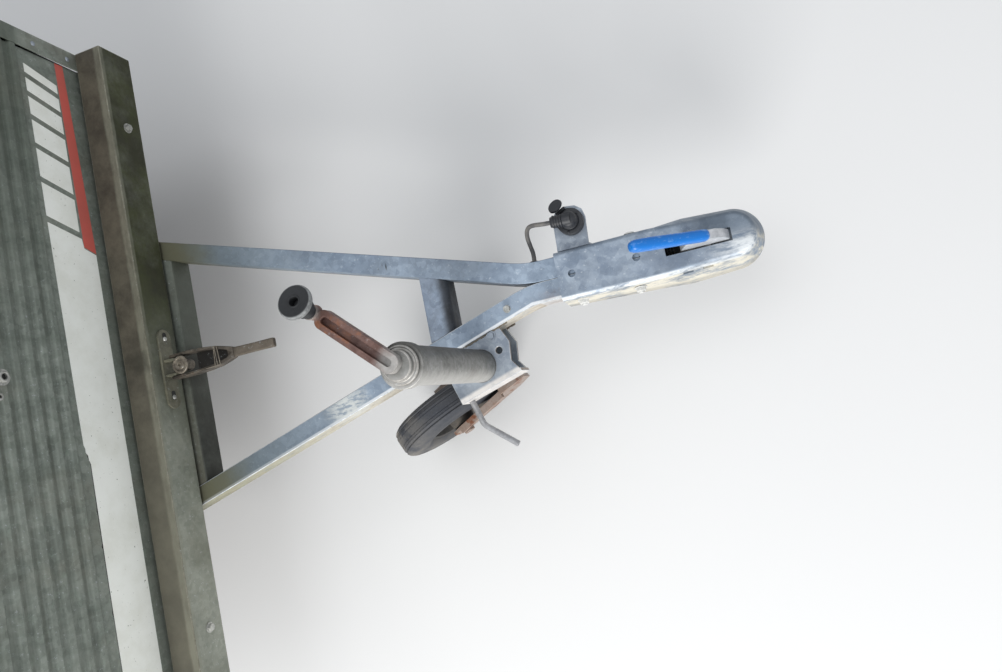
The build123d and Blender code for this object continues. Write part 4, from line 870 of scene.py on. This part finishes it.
def sill_bolts(bm):
    for side in (1, -1):
        bolt(bm, (SILL_X, side * SILL_BOLT_Y, DECK_Z + 0.036), (1, 0, 0), 0.010, 0.008)


def stadium(middle, up, half_length, radius):
    """Outline of a slot that lies across, as (across, above the drawbar)."""
    turns = [pi * number / 10 for number in range(11)]
    return ([(middle + half_length + radius * sin(turn), up + radius * cos(turn)) for turn in turns]
            + [(middle - half_length - radius * sin(turn), up - radius * cos(turn)) for turn in turns])


def latch_plate(bm):
    """Slot-shaped plate on the sill and the two cheeks that hold the lever's pin."""
    film(bm, stadium(LATCH_Y, LATCH_Z - DECK_Z, 0.0500, 0.0145), LATCH_FACE - LATCH_THICK, LATCH_THICK)
    cheek = ((0.004, -0.010), (0.004, 0.010), (0.022, 0.010), (0.030, 0.0), (0.022, -0.010))
    for side in (1, -1):
        across = LATCH_Y + side * 0.012 - CHEEK_THICK / 2
        pushed(bm, [(SILL_X + ahead, across, LATCH_Z + up) for ahead, up in cheek], (0, CHEEK_THICK, 0))


def latch_slots(bm):
    """Dark slots in the latch plate, seen past their bolts."""
    for across in LATCH_BOLTS:
        film(bm, stadium(across + 0.0030, LATCH_Z - DECK_Z, 0.0035, 0.0042), LATCH_FACE, 0.0004)


def latch_bolts(bm):
    for across in LATCH_BOLTS:
        dome(bm, (LATCH_FACE + 0.0004, across, LATCH_Z), (1, 0, 0), 0.0038, 0.0026)


def latch_web(bm):
    """Dark web that joins the fork's cheeks, low between them; it also stands in for the shade seen through the fork.
    """
    edge = ((0.0375, 0.0152), (0.0600, 0.0140), (0.0830, 0.0114), (0.1010, 0.0062))
    outline = (*edge, *((ahead, -across) for ahead, across in reversed(edge)))
    pushed(bm, [LATCH_PIN + Vector((ahead, across, -0.0060)) for ahead, across in outline], (0, 0, 0.003))


def latch_boss(bm):
    """Upright stud between the latch's cheeks: a broad turned head with a raised rim and a sunk middle."""
    profile = ((0.0, -0.010), (0.0088, -0.010), (0.0088, 0.0085), (0.0130, 0.0105), (0.0143, 0.0125),
               (0.0143, 0.0148), (0.0130, 0.0160), (0.0108, 0.0160), (0.0100, 0.0146), (0.0074, 0.0144),
               (0.0064, 0.0154), (0.0030, 0.0156), (0.0026, 0.0136), (0.0, 0.0136))
    lathe(bm, profile, LATCH_PIN + Vector((0.0170, -0.0003, 0)), (0, 0, 1), 44)


def latch_spring(bm):
    """Wire spring wound over the fork of the latch lever."""
    coils = [((ahead, -0.0150, 0.0124), (ahead + lean, 0.0150, 0.0126))
             for ahead, lean in ((0.0790, 0.0020), (0.0835, -0.0012), (0.0885, -0.0020))]
    tail = ((0.0885, -0.0148, 0.0122), (0.0240, -0.0188, 0.0132))
    for start, end in (*coils, tail):
        rod(bm, LATCH_PIN + Vector(start), LATCH_PIN + Vector(end), 0.0008, segments=10)


def drawbar_bolt(bm):
    bolt(bm, at(-0.083, -0.0270, 0), (0.05, 0.02, 1), 0.0090, 0.0056)


def coupling_bolts(bm):
    """Coach bolts through the coupling and both tubes: round heads on its left, nuts on its right."""
    for ahead, half_width in ((0.026, 0.0366), (0.108, 0.0386)):
        nut = at(ahead, -half_width, -0.0205)
        bolt(bm, nut, (0, -1, 0.12), 0.013, 0.0090)
        rod(bm, nut - Vector((0, 0.005, 0)), nut - Vector((0, 0.0085, 0)), 0.0040)
        dome(bm, at(ahead, half_width + 0.0006, -0.0205), (0, 1, 0.12), 0.0078, 0.0024)


def clamp_plate(bm):
    """Inside of the coupling: a dark plate under the slot and dark liners behind the side slots, which stand in for
    the shade inside it, and the ball clamp's spring.
    """
    slab(bm, at(0.138, -0.0240, -0.0320), at(0.209, 0.0240, -0.0300))
    for side in (1, -1):
        low, high = sorted((side * 0.0264, side * 0.0272))
        slab(bm, at(0.166, low, -0.0160), at(0.212, high, -0.0040))
    coil = ((0.0042, -0.0009), (0.0060, -0.0009), (0.0060, 0.0009), (0.0042, 0.0009), (0.0042, -0.0009))
    for number in range(5):
        lathe(bm, coil, at(0.146 + 0.0042 * number, 0.001, -0.0235), (1, 0.06, 0), 20)


# Grip of the coupling lever; rows along it as (share of the way, share of the full width)
GRIP_FRONT, GRIP_REAR = at(0.2115, 0, 0.0370), at(0.1150, 0, 0.0940)
GRIP_ROWS = (
    (0.000, 0.30), (0.006, 0.62), (0.020, 0.84), (0.050, 0.97), (0.120, 1.00), (0.300, 0.98), (0.500, 1.00),
    (0.720, 1.02), (0.880, 1.00), (0.945, 0.92), (0.980, 0.76), (0.995, 0.54), (1.000, 0.28),
)


def squared(value, power):
    """Sine or cosine pushed out towards a square corner; the smaller the power, the squarer."""
    return copysign(abs(value) ** power, value)


def ring_at(bm, points):
    """Closed ring of edges through the points."""
    ring = bmesh.ops.create_circle(bm, segments=len(points), radius=1.0)["verts"]
    for vert, point in zip(ring, points):
        vert.co = point
    return ring


def bridged(bm, rings):
    """Skin from ring to ring, closed at both ends."""
    for pair in zip(rings, rings[1:]):
        edges = {edge for ring in pair for vert in ring for edge in vert.link_edges if edge.other_vert(vert) in ring}
        bmesh.ops.bridge_loops(bm, edges=list(edges))
    for ring in (rings[0], rings[-1]):
        bmesh.ops.contextual_create(bm, geom=ring)


# Latch lever, from its pin: stations along an arm of its fork as ahead, outer, inner, low and high, and
# along its handle as ahead, width and height
FORK_ARM = ((-0.0088, 0.0193, 0.0150, -0.0040, 0.0050), (-0.0060, 0.0195, 0.0150, -0.0080, 0.0088),
            (0.0100, 0.0195, 0.0150, -0.0098, 0.0108), (0.0340, 0.0195, 0.0150, -0.0090, 0.0134),
            (0.0600, 0.0182, 0.0136, -0.0075, 0.0134), (0.0830, 0.0158, 0.0110, -0.0055, 0.0116),
            (0.1000, 0.0118, 0.0060, -0.0040, 0.0098), (0.1120, 0.0082, -0.0020, -0.0025, 0.0086))
HANDLE_STEPS = ((0.1000, 0.0150, 0.0066), (0.1080, 0.0158, 0.0084), (0.1200, 0.0148, 0.0086),
                (0.1500, 0.0142, 0.0088), (0.1815, 0.0146, 0.0088), (0.1836, 0.0138, 0.0078),
                (0.1840, 0.0122, 0.0060))
HANDLE_UP, PIN_HALF = 0.003, Vector((0, 0.019, 0))


def fork_lever(bm):
    """Latch lever: two arms round the stud that draw together into a flat handle, on their pin."""
    for side in (1, -1):
        bridged(bm, [ring_at(bm, [LATCH_PIN + Vector((ahead, side * across, up)) for across, up in
                                  ((outer, low), (outer, high), (inner, high), (inner, low))])
                     for ahead, outer, inner, low, high in FORK_ARM])
    turns = [2 * pi * (step + 0.5) / 28 for step in range(28)]
    section = [(squared(cos(turn), 0.4) / 2, squared(sin(turn), 0.4) / 2) for turn in turns]
    bridged(bm, [ring_at(bm, [LATCH_PIN + Vector((ahead, width * across, HANDLE_UP + height * up))
                              for across, up in section])
                 for ahead, width, height in HANDLE_STEPS])
    rod(bm, LATCH_PIN - PIN_HALF, LATCH_PIN + PIN_HALF, 0.006)
    bmesh.ops.recalc_face_normals(bm, faces=bm.faces)


def moulded_grip(bm):
    """Grip moulded round the lever: squarish sections, drawn in to a round end at the front and the rear."""
    run = GRIP_REAR - GRIP_FRONT
    turn = run.to_track_quat("Z", "Y").to_matrix().to_4x4()
    rings = []
    for share, fill in GRIP_ROWS:
        width, height = (0.0158 + 0.0010 * share) * fill, (0.0182 + 0.0020 * share) * fill
        ring = bmesh.ops.create_circle(bm, segments=32, radius=1.0)["verts"]
        for vert in ring:
            vert.co.x = squared(vert.co.x, 0.72) * width / 2
            vert.co.y = squared(vert.co.y, 0.72) * height / 2
        bmesh.ops.transform(bm, matrix=Matrix.Translation(GRIP_FRONT + run * share) @ turn, verts=ring)
        rings.append(ring)
    bridged(bm, rings)


def spool_knob(bm):
    """Spool-shaped crank knob with a wide dished disc and a deep bore."""
    profile = ((0.0, 0.0001), (0.0080, 0.0001), (0.0080, 0.0055), (0.0098, 0.0080), (0.0118, 0.0100),
               (0.0112, 0.0140), (0.0104, 0.0190), (0.0120, 0.0225), (0.0165, 0.0256), (0.0194, 0.0270),
               (0.0202, 0.0290), (0.0202, 0.0315), (0.0194, 0.0335), (0.0176, 0.0346), (0.0120, 0.0340),
               (0.0078, 0.0336), (0.0068, 0.0342), (0.0058, 0.0340), (0.0054, 0.0325), (0.0050, 0.0240),
               (0.0, 0.0238))
    lathe(bm, profile, KNOB_FOOT, KNOB_LEAN, 48)


def bracket_bolts(bm):
    """Bolts that hold the jockey bracket to the tube, at the ends of its folded flanges."""
    for out in (-0.036, 0.022):
        middle = Vector((JOCKEY_X, JOCKEY_Y, 0)) + ALONG * out - OUTWARD * (REACH - 0.0060)
        bolt(bm, (middle.x, middle.y, BRACKET_TOP), (0, 0, 1), 0.010, 0.0075)


def tube_y(ahead):
    """Distance of a drawbar tube's centre line from the middle."""
    return TUBE_W / 2 + SPREAD * max(0.0, BEND_X - ahead)


def cross_channel(bm, rear, front, foot, fold):
    """Channel between the two tubes, open below, its front edge folded round."""
    top, wall = DECK_Z - 0.001, 0.003
    turns = [pi / 2 * number / 6 for number in range(7)]
    outer = [(front - fold + fold * sin(turn), top - fold + fold * cos(turn)) for turn in turns]
    inner_fold = max(fold - wall, 0.0006)
    inner = [(front - wall - inner_fold + inner_fold * sin(turn), top - wall - inner_fold + inner_fold * cos(turn))
             for turn in reversed(turns)]
    section = [(rear, foot), (rear, top), *outer, (front, foot), (front - wall, foot), *inner,
               (rear + wall, top - wall), (rear + wall, foot)]
    left_end = [(ahead, tube_y(ahead) - TUBE_ACROSS, up) for ahead, up in section]
    for corner in pushed(bm, left_end, (0, 0, 0)):
        corner.co.y *= -1


def front_crossmember(bm):
    cross_channel(bm, CROSSMEMBER_REAR, CROSSMEMBER_FRONT, DECK_Z - 0.045, 0.003)


def drawbar_brace(bm):
    cross_channel(bm, BRACE_REAR, BRACE_FRONT, DECK_Z - 0.040, 0.014)


def drawbar_welds(bm):
    """Beads where the cross members, the bracket and the axle beam meet the tubes."""
    for rear, front in ((CROSSMEMBER_REAR, CROSSMEMBER_FRONT), (BRACE_REAR, BRACE_FRONT)):
        for side in (1, -1):
            start, end = ((ahead, side * (tube_y(ahead) - TUBE_ACROSS), DECK_Z - 0.037)
                          for ahead in (rear + 0.004, front - 0.004))
            weld_bead(bm, start, end, 0.0022)
    start, end = (TUBE_FACE + ALONG * run for run in (0.052, 0.122))
    for level in (BRACKET_TOP, BRACKET_BOTTOM):
        weld_bead(bm, (*start.xy, level), (*end.xy, level), 0.0026)
    for side in (1, -1):
        for ahead in (0.078, 0.142):
            middle = side * tube_y(ahead)
            weld_bead(bm, (ahead, middle - 0.017, DECK_Z - TUBE_H), (ahead, middle + 0.017, DECK_Z - TUBE_H), 0.0030)


def post_rivets(bm):
    """Blind rivets down the corner posts."""
    for number in range(7):
        up = BOX_Z + 0.020 + 0.064 * number
        for side in (1, -1):
            for ahead in (PANEL_X - 0.015, BOX_REAR_X + 0.015):
                dome(bm, (ahead, side * BOX_HALF_W, up), (0, side, 0), 0.0038, 0.0016)
            dome(bm, (FIXING_FACE, side * (BOX_HALF_W - 0.015), up), (1, 0, 0), 0.0038, 0.0016)


def rope_hooks(bm):
    """Wire hooks for a rope or cover along the foot of each side."""
    for side in (1, -1):
        for ahead in (0.62, 0.22, -0.18, -0.58):
            foot = Vector((ahead, side * SIDE_FACE, BOX_Z + 0.120))
            base, neck, top, tip = (foot + Vector((0, side * out, up)) for out, up in
                                    ((0.003, 0), (0.016, -0.001), (0.0145, 0.003), (0.0165, -0.024)))
            rod(bm, foot, base, 0.010)
            rod(bm, foot, neck, 0.0032)
            rod(bm, top, tip, 0.0032, 0.0026)


def side_reflectors(bm):
    for side in (1, -1):
        low, high = sorted((side * SIDE_FACE, side * (SIDE_FACE + 0.006)))
        for ahead in (0.50, -0.52):
            slab(bm, (ahead - 0.032, low, BOX_Z + 0.046), (ahead + 0.032, high, BOX_Z + 0.078))


def floor_screws(bm):
    for ahead in (0.68, 0.34, 0.0, -0.34, -0.68):
        for across in (-0.30, 0.0, 0.30):
            dome(bm, (ahead, across, FLOOR_TOP), (0, 0, 1), 0.0055, 0.0012)


# Lamp bar and what it carries
BAR_X = BOX_REAR_X + 0.012
BAR_MIDDLE = BOX_Z - 0.051
LAMP_Y, TRIANGLE_Y = 0.460, 0.327
LAMP_HALF_W, LAMP_HALF_H = 0.065, 0.042
HOUSING_D, LAMP_D, LENS_INSET = 0.024, 0.0378, 0.003


def lamp_housings(bm):
    for side in (1, -1):
        middle = side * LAMP_Y
        slab(bm, (BAR_X - HOUSING_D, middle - LAMP_HALF_W, BAR_MIDDLE - LAMP_HALF_H),
             (BAR_X - 0.0001, middle + LAMP_HALF_W, BAR_MIDDLE + LAMP_HALF_H))


def lamp_lens(start, end):
    """Builder of both sides' lens between two distances from the lamp's outer end."""
    def build(bm):
        for side in (1, -1):
            outer = LAMP_Y + LAMP_HALF_W - LENS_INSET
            edges = sorted((side * (outer - start), side * (outer - end)))
            slab(bm, (BAR_X - LAMP_D, edges[0], BAR_MIDDLE - LAMP_HALF_H + LENS_INSET),
                 (BAR_X - HOUSING_D + 0.001, edges[1], BAR_MIDDLE + LAMP_HALF_H - LENS_INSET))
    return build


def lens_screws(bm):
    for side in (1, -1):
        for off in (-0.058, 0.058):
            dome(bm, (BAR_X - LAMP_D + 0.0006, side * LAMP_Y + off, BAR_MIDDLE), (-1, 0, 0), 0.0030, 0.0008)


def warning_triangles(bm):
    """Three-cornered rear reflectors on the lamp bar."""
    for side in (1, -1):
        bmesh.ops.create_cone(bm, cap_ends=True, segments=3, radius1=0.054, radius2=0.052, depth=0.006,
                              matrix=Matrix.Translation((BAR_X - 0.0031, side * TRIANGLE_Y, BAR_MIDDLE - 0.010))
                              @ Matrix.Rotation(-pi / 2, 4, "Y") @ Matrix.Rotation(pi, 4, "Z"))


def plate_screws(bm):
    for across in (-0.215, 0.215):
        dome(bm, (BAR_X - 0.0040, across, BAR_MIDDLE - 0.006), (-1, 0, 0), 0.0050, 0.0018)


def gate_foot_strip(bm):
    """Rubber strip along the inside of the tailgate's foot; its lip closes the gap to the floor."""
    section = ((-0.0106, 0.0570), (-0.0106, 0.0760), (-0.0080, 0.0760), (-0.0072, 0.0645), (0.0118, 0.0506),
               (0.0112, 0.0487), (-0.0070, 0.0570))
    half = 0.5105
    pushed(bm, [(BOX_REAR_X + ahead, -half, BOX_Z + up) for ahead, up in section], (0, 2 * half, 0))


def hinge_screws(bm):
    for across in (-0.380, 0.0, 0.380):
        for up in (0.024, 0.046):
            for off in (-0.010, 0.010):
                dome(bm, (GATE_FACE - 0.0032, across + off, BOX_Z + 0.047 + up), (-1, 0, 0), 0.0032, 0.0014)


# Road wheels
def both_walls(wall, tread=()):
    """Closed tyre section from the points of one side wall, as (radius, across), and those of the tread."""
    return [*wall, *tread, *((radius, -across) for radius, across in reversed(wall)), wall[0]]


TYRE_SECTION = both_walls((
    (0.1042, -0.0385), (0.1100, -0.0392), (0.1160, -0.0424), (0.1240, -0.0468), (0.1340, -0.0492), (0.1480, -0.0498),
    (0.1490, -0.0499), (0.1520, -0.0499), (0.1530, -0.0496), (0.1660, -0.0486), (0.1770, -0.0462), (0.1850, -0.0430),
    (0.1905, -0.0385), (0.1935, -0.0345), (0.1945, -0.0195), (0.1945, -0.0180), (0.1945, -0.0018)))
TREAD_BLOCKS, TREAD_FROM_R, BLOCK_WIDTH, BLOCK_HEIGHT, BLOCK_GAP = 76, 0.1925, 0.010, 0.0053, 0.0014


def road_tyre(side):
    """Builder of a road tyre: turned casing whose tread rows are cut into raised blocks."""
    def build(bm):
        centre = Vector((0, side * WHEEL_Y, WHEEL_R))
        lathe(bm, TYRE_SECTION, centre, (0, 1, 0), TREAD_BLOCKS)
        bmesh.ops.recalc_face_normals(bm, faces=bm.faces)
        tread = []
        for face in bm.faces:
            middle = face.calc_center_median() - centre
            wide = max(v.co.y for v in face.verts) - min(v.co.y for v in face.verts)
            if middle.xz.length > TREAD_FROM_R and wide > BLOCK_WIDTH:
                tread.append(face)
        bmesh.ops.inset_individual(bm, faces=tread, thickness=BLOCK_GAP, depth=BLOCK_HEIGHT, use_even_offset=True)
    return build


def valve_stem(side):
    """Builder of a road wheel's valve with its cap."""
    def build(bm):
        foot, neck, tip = (Vector((0.088, side * (WHEEL_Y + out), WHEEL_R)) for out in (0.001, 0.025, 0.035))
        rod(bm, foot, neck, 0.0045, 0.0038)
        rod(bm, neck, tip, 0.0044, 0.0040)
    return build


# Jockey wheel
WHEEL_AXIS = Vector((sin(TRAIL_TURN), -cos(TRAIL_TURN), 0))
JOCKEY_WHEEL_X = JOCKEY_X - TRAIL * cos(TRAIL_TURN)
JOCKEY_WHEEL_Y = JOCKEY_Y - TRAIL * sin(TRAIL_TURN)
JOCKEY_WHEEL_Z = WHEEL_R + (JOCKEY_R - WHEEL_R + sin(PARK_PITCH) * JOCKEY_WHEEL_X) / cos(PARK_PITCH)
JOCKEY_LINES = (-0.0150, -0.0105, -0.0060, 0.0060, 0.0105, 0.0150)
JOCKEY_CROWN_R, JOCKEY_LINE_DEPTH = 0.1098, 0.0008


def jockey_tyre(bm):
    """Solid tyre with fine moulded lines round its tread and a step on each side wall."""
    wall = ((0.0600, 0.0200), (0.0640, 0.0222), (0.0700, 0.0250), (0.0790, 0.0249), (0.0800, 0.0243),
            (0.0970, 0.0241), (0.1020, 0.0226), (0.1065, 0.0196), (0.1085, 0.0170))
    tread = []
    for line in reversed(JOCKEY_LINES):
        crown = JOCKEY_CROWN_R - 2.2 * max(0.0, abs(line) - 0.010) ** 1.35
        floor = crown - JOCKEY_LINE_DEPTH
        tread += [(crown, line + 0.0006), (floor, line + 0.0003), (floor, line - 0.0003), (crown, line - 0.0006)]
    lathe(bm, both_walls(wall, tread), (JOCKEY_WHEEL_X, JOCKEY_WHEEL_Y, JOCKEY_WHEEL_Z), WHEEL_AXIS, 96)


# Parked plug, and the lamp cable that loops from its boss back into the left drawbar tube
PLUG_FOOT, HOLDER_R = at(0.034, 0.072, 0), 0.0158
BOSS_FROM, BOSS_LEAN = at(0.034, 0.072, 0.022), Vector((-0.998, 0.061, 0)).normalized()
CABLE_R, CABLE_LENGTH = 0.0032, 0.102
CABLE_ROUTE = (
    (-0.0020, 0.0742, 0.0220), (-0.0149, 0.0773, 0.0178), (-0.0250, 0.0791, 0.0085), (-0.0320, 0.0764, -0.0032),
    (-0.0355, 0.0689, -0.0140), (-0.0352, 0.0580, -0.0221), (-0.03348, 0.04580, -0.0250),
    (-0.03453, 0.03551, -0.0250),
)


def parked_plug(bm):
    """Moulded plug body, with a ribbed boss for its cable."""
    body = ((0.0, -0.012), (0.0119, -0.012), (0.0119, 0.0090), (0.0128, 0.0096), (0.0128, 0.0150), (0.0119, 0.0160),
            (0.0119, 0.0200), (0.0108, 0.0245), (0.0082, 0.0268), (0.0, 0.0278))
    lathe(bm, body, PLUG_FOOT, (0, 0, 1), 40)
    ribs = [(0.0, -0.004), (0.0088, -0.004), (0.0088, 0.0070)]
    for number in range(4):
        start = 0.0080 + 0.0036 * number
        ribs += [(0.0080, start), (0.0090, start + 0.0006), (0.0090, start + 0.0022), (0.0080, start + 0.0028)]
    ribs += [(0.0072, 0.0245), (0.0, 0.0245)]
    lathe(bm, ribs, BOSS_FROM, BOSS_LEAN, 36)


def holder_details(bm):
    """Hinged flap of the plug holder, folded open beside the plug, with its hinge barrel and screws."""
    rod(bm, at(0.017, 0.0850, 0.009), at(0.031, 0.0920, 0.009), 0.0028)
    rod(bm, at(0.0195, 0.0955, 0.0140), at(0.0185, 0.0971, 0.0166), 0.0112, 0.0104)
    for turn in (0.6, 2.7, 4.4):
        place = PLUG_FOOT + Vector((HOLDER_R * cos(turn), HOLDER_R * sin(turn), 0.009))
        dome(bm, place, (0, 0, 1), 0.0022, 0.0010)


def lamp_cable():
    """Cord along the cable's route, read from the photograph."""
    points = [PARK @ point for point in (BOSS_FROM + BOSS_LEAN * 0.0247, *(at(*place) for place in CABLE_ROUTE))]
    curve = bpy.data.curves.new("lamp_cable", "CURVE")
    curve.dimensions = "3D"
    curve.bevel_depth = CABLE_R
    curve.bevel_resolution = 6
    curve.resolution_u = 10
    curve.use_fill_caps = True
    spline = curve.splines.new("NURBS")
    spline.points.add(len(points) - 1)
    for target, point in zip(spline.points, points):
        target.co = (*point, 1)
    spline.order_u = 3
    spline.use_endpoint_u = True
    curve.materials.append(MATERIALS["cable_sheath"])
    cable = bpy.data.objects.new("lamp_cable", curve)
    bpy.context.scene.collection.objects.link(cable)
    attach(cable, "chassis")
    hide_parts("cable_loop")


# Camera on the level trailer, fitted to the photograph; the picture's sizes are in its pixels
CAMERA_AT, CAMERA_TURN = at(0.2102, -0.1764, 1.0754), (0.0243, 0.2950, -0.2077)
FOCAL_PX, CENTRE_DROP_PX, PHOTO_W = 777.3, 13.5, 1002
SENSOR_W = 36.0


def place_camera():
    """Camera at the photograph's viewing angle."""
    lens = bpy.data.cameras.new("photo_camera")
    lens.sensor_width = SENSOR_W
    lens.lens = SENSOR_W * FOCAL_PX / PHOTO_W
    lens.shift_y = CENTRE_DROP_PX / PHOTO_W
    lens.clip_start = 0.01
    camera = bpy.data.objects.new("photo_camera", lens)
    bpy.context.scene.collection.objects.link(camera)
    turn_x, turn_y, turn_z = CAMERA_TURN
    turn = Matrix.Rotation(turn_z, 4, "Z") @ Matrix.Rotation(turn_y, 4, "Y") @ Matrix.Rotation(turn_x, 4, "X")
    camera.matrix_world = PARK @ Matrix.Translation(CAMERA_AT) @ turn
    bpy.context.scene.camera = camera


def studio():
    """Pale floor, a soft world and two broad lamps."""
    scene = bpy.context.scene
    scene.view_settings.view_transform = "Standard"
    world = bpy.data.worlds.new("studio")
    scene.world = world
    world.use_nodes = True
    back = world.node_tree.nodes["Background"]
    back.inputs["Color"].default_value = (0.93, 0.96, 1.0, 1)
    back.inputs["Strength"].default_value = 0.66

    bm = bmesh.new()
    bmesh.ops.create_grid(bm, x_segments=1, y_segments=1, size=30)
    floor_mesh = bpy.data.meshes.new("studio_floor")
    bm.to_mesh(floor_mesh)
    bm.free()
    floor = bpy.data.objects.new("studio_floor", floor_mesh)
    scene.collection.objects.link(floor)
    bench = new_material("studio_paper", 0.0, 0.9)
    bench.shine(bench.mix(bench.noise(0.7, 2.0), (0.66, 0.66, 0.66, 1), (0.70, 0.70, 0.695, 1)))
    floor_mesh.materials.append(MATERIALS["studio_paper"])

    aim = Vector((0.7, 0, 0.3))
    for name, place, size, power, color in (
            ("window", Vector((0.7, -3.3, 2.1)), 2.2, 150.0, (1.0, 0.99, 0.97)),
            ("fill", Vector((0.6, 0.6, 4.2)), 3.2, 40.0, (0.95, 0.97, 1.0))):
        light = bpy.data.lights.new(name, "AREA")
        light.shape, light.size, light.energy, light.color = "DISK", size, power, color
        lamp = bpy.data.objects.new(name, light)
        scene.collection.objects.link(lamp)
        lamp.location = place
        lamp.rotation_euler = (aim - place).to_track_quat("-Z", "Y").to_euler()


# Drawn pieces by body and slot: name, builder, material, and the rounding of their edges where they have one
PIECES = {
    ("load_box", "galvanised_sheet"): (
        ("front_band", lambda bm: film(bm, BAND), "band_white"),
        ("band_tears", band_tears, "slot_shadow"),
        ("front_stripe", lambda bm: film(bm, STRIPE), "stripe_red"),
        ("front_bars", front_bars, "band_white")),
    ("load_box", "zinc_fittings"): (
        ("panel_fixings", panel_fixings, "bright_bolt"),
        ("panel_sockets", panel_sockets, "slot_shadow"),
        ("sill_bolts", sill_bolts, "bright_bolt"),
        ("latch_bolts", latch_bolts, "bright_bolt"),
        ("post_rivets", post_rivets, "fitting_zinc"),
        ("rope_hooks", rope_hooks, "fitting_zinc"),
        ("floor_screws", floor_screws, "bright_bolt"),
        ("lens_screws", lens_screws, "bright_bolt"),
        ("plate_screws", plate_screws, "bright_bolt")),
    ("load_box", "latch_steel"): (
        ("latch_mount", latch_plate, "latch_mount", 0.0007),
        ("latch_slots", latch_slots, "slot_shadow"),
        ("latch_boss", latch_boss, "latch_boss")),
    ("load_box", "dark_plastic"): (
        ("lamp_housings", lamp_housings, "lamp_housing", 0.005),),
    ("load_box", "lamp_red"): (
        ("side_reflectors", side_reflectors, "lens_amber", 0.0015),
        ("amber_lenses", lamp_lens(0.0, 0.040), "lens_amber", 0.0035),
        ("red_lenses", lamp_lens(0.0408, 0.096), "lens_red", 0.0035),
        ("clear_lenses", lamp_lens(0.0968, 0.124), "lens_clear", 0.0035),
        ("warning_triangles", warning_triangles, "lens_red", 0.001)),
    ("latch", "latch_steel"): (
        ("fork_lever", fork_lever, "latch_lever_steel", 0.0009),
        ("latch_web", latch_web, "oily_steel"),
        ("latch_spring", latch_spring, "latch_boss")),
    ("chassis", "zinc_fittings"): (
        ("drawbar_bolt", drawbar_bolt, "bright_bolt", 0.0004),
        ("coupling_bolts", coupling_bolts, "chalky_bolt", 0.0005),
        ("clamp_plate", clamp_plate, "slot_shadow"),
        ("bracket_bolts", bracket_bolts, "fitting_zinc", 0.0004)),
    ("chassis", "galvanised_frame"): (
        ("cross_channel_front", front_crossmember, "crossmember_zinc", 0.0006),
        ("cross_channel_brace", drawbar_brace, "brace_zinc", 0.0004),
        ("drawbar_welds", drawbar_welds, "weld")),
    ("chassis", "dark_plastic"): (
        ("parked_plug_cover", parked_plug, "dark_plastic"),
        ("holder_details", holder_details, "dark_plastic", 0.0004)),
    ("coupling_lever", "blue_grip"): (
        ("moulded_grip", moulded_grip, "blue_grip"),),
    ("crank", "dark_plastic"): (
        ("spool_knob", spool_knob, "knob_rubber"),),
    ("tailgate", "buffer_rubber"): (
        ("gate_foot_strip", gate_foot_strip, "black_rubber", 0.0006),),
    ("tailgate", "zinc_fittings"): (
        ("hinge_screws", hinge_screws, "bright_bolt"),),
    ("wheel_left", "tyre_rubber"): (
        ("road_tyre_left", road_tyre(1), "road_tyre"),
        ("valve_left", valve_stem(1), "black_rubber")),
    ("wheel_right", "tyre_rubber"): (
        ("road_tyre_right", road_tyre(-1), "road_tyre"),
        ("valve_right", valve_stem(-1), "black_rubber")),
    ("jockey_wheel", "jockey_rubber"): (
        ("jockey_tread", jockey_tyre, "jockey_tyre"),),
}
drawn = {row[0]: draw(body, slot, *row) for (body, slot), rows in PIECES.items() for row in rows}
for piece, node in (("lamp_housings", "rear_lamps"), ("road_tyre_left", "tyre_left"),
                    ("road_tyre_right", "tyre_right"), ("jockey_tread", "jockey_tyre"),
                    ("parked_plug_cover", "parked_plug"), ("latch_mount", "latch_plate"),
                    ("cross_channel_front", "front_crossmember"), ("cross_channel_brace", "drawbar_brace"),
                    ("moulded_grip", "handle_grip"), ("spool_knob", "crank_knob"), ("fork_lever", "latch_lever")):
    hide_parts(node)

lamp_cable()
place_camera()
studio()
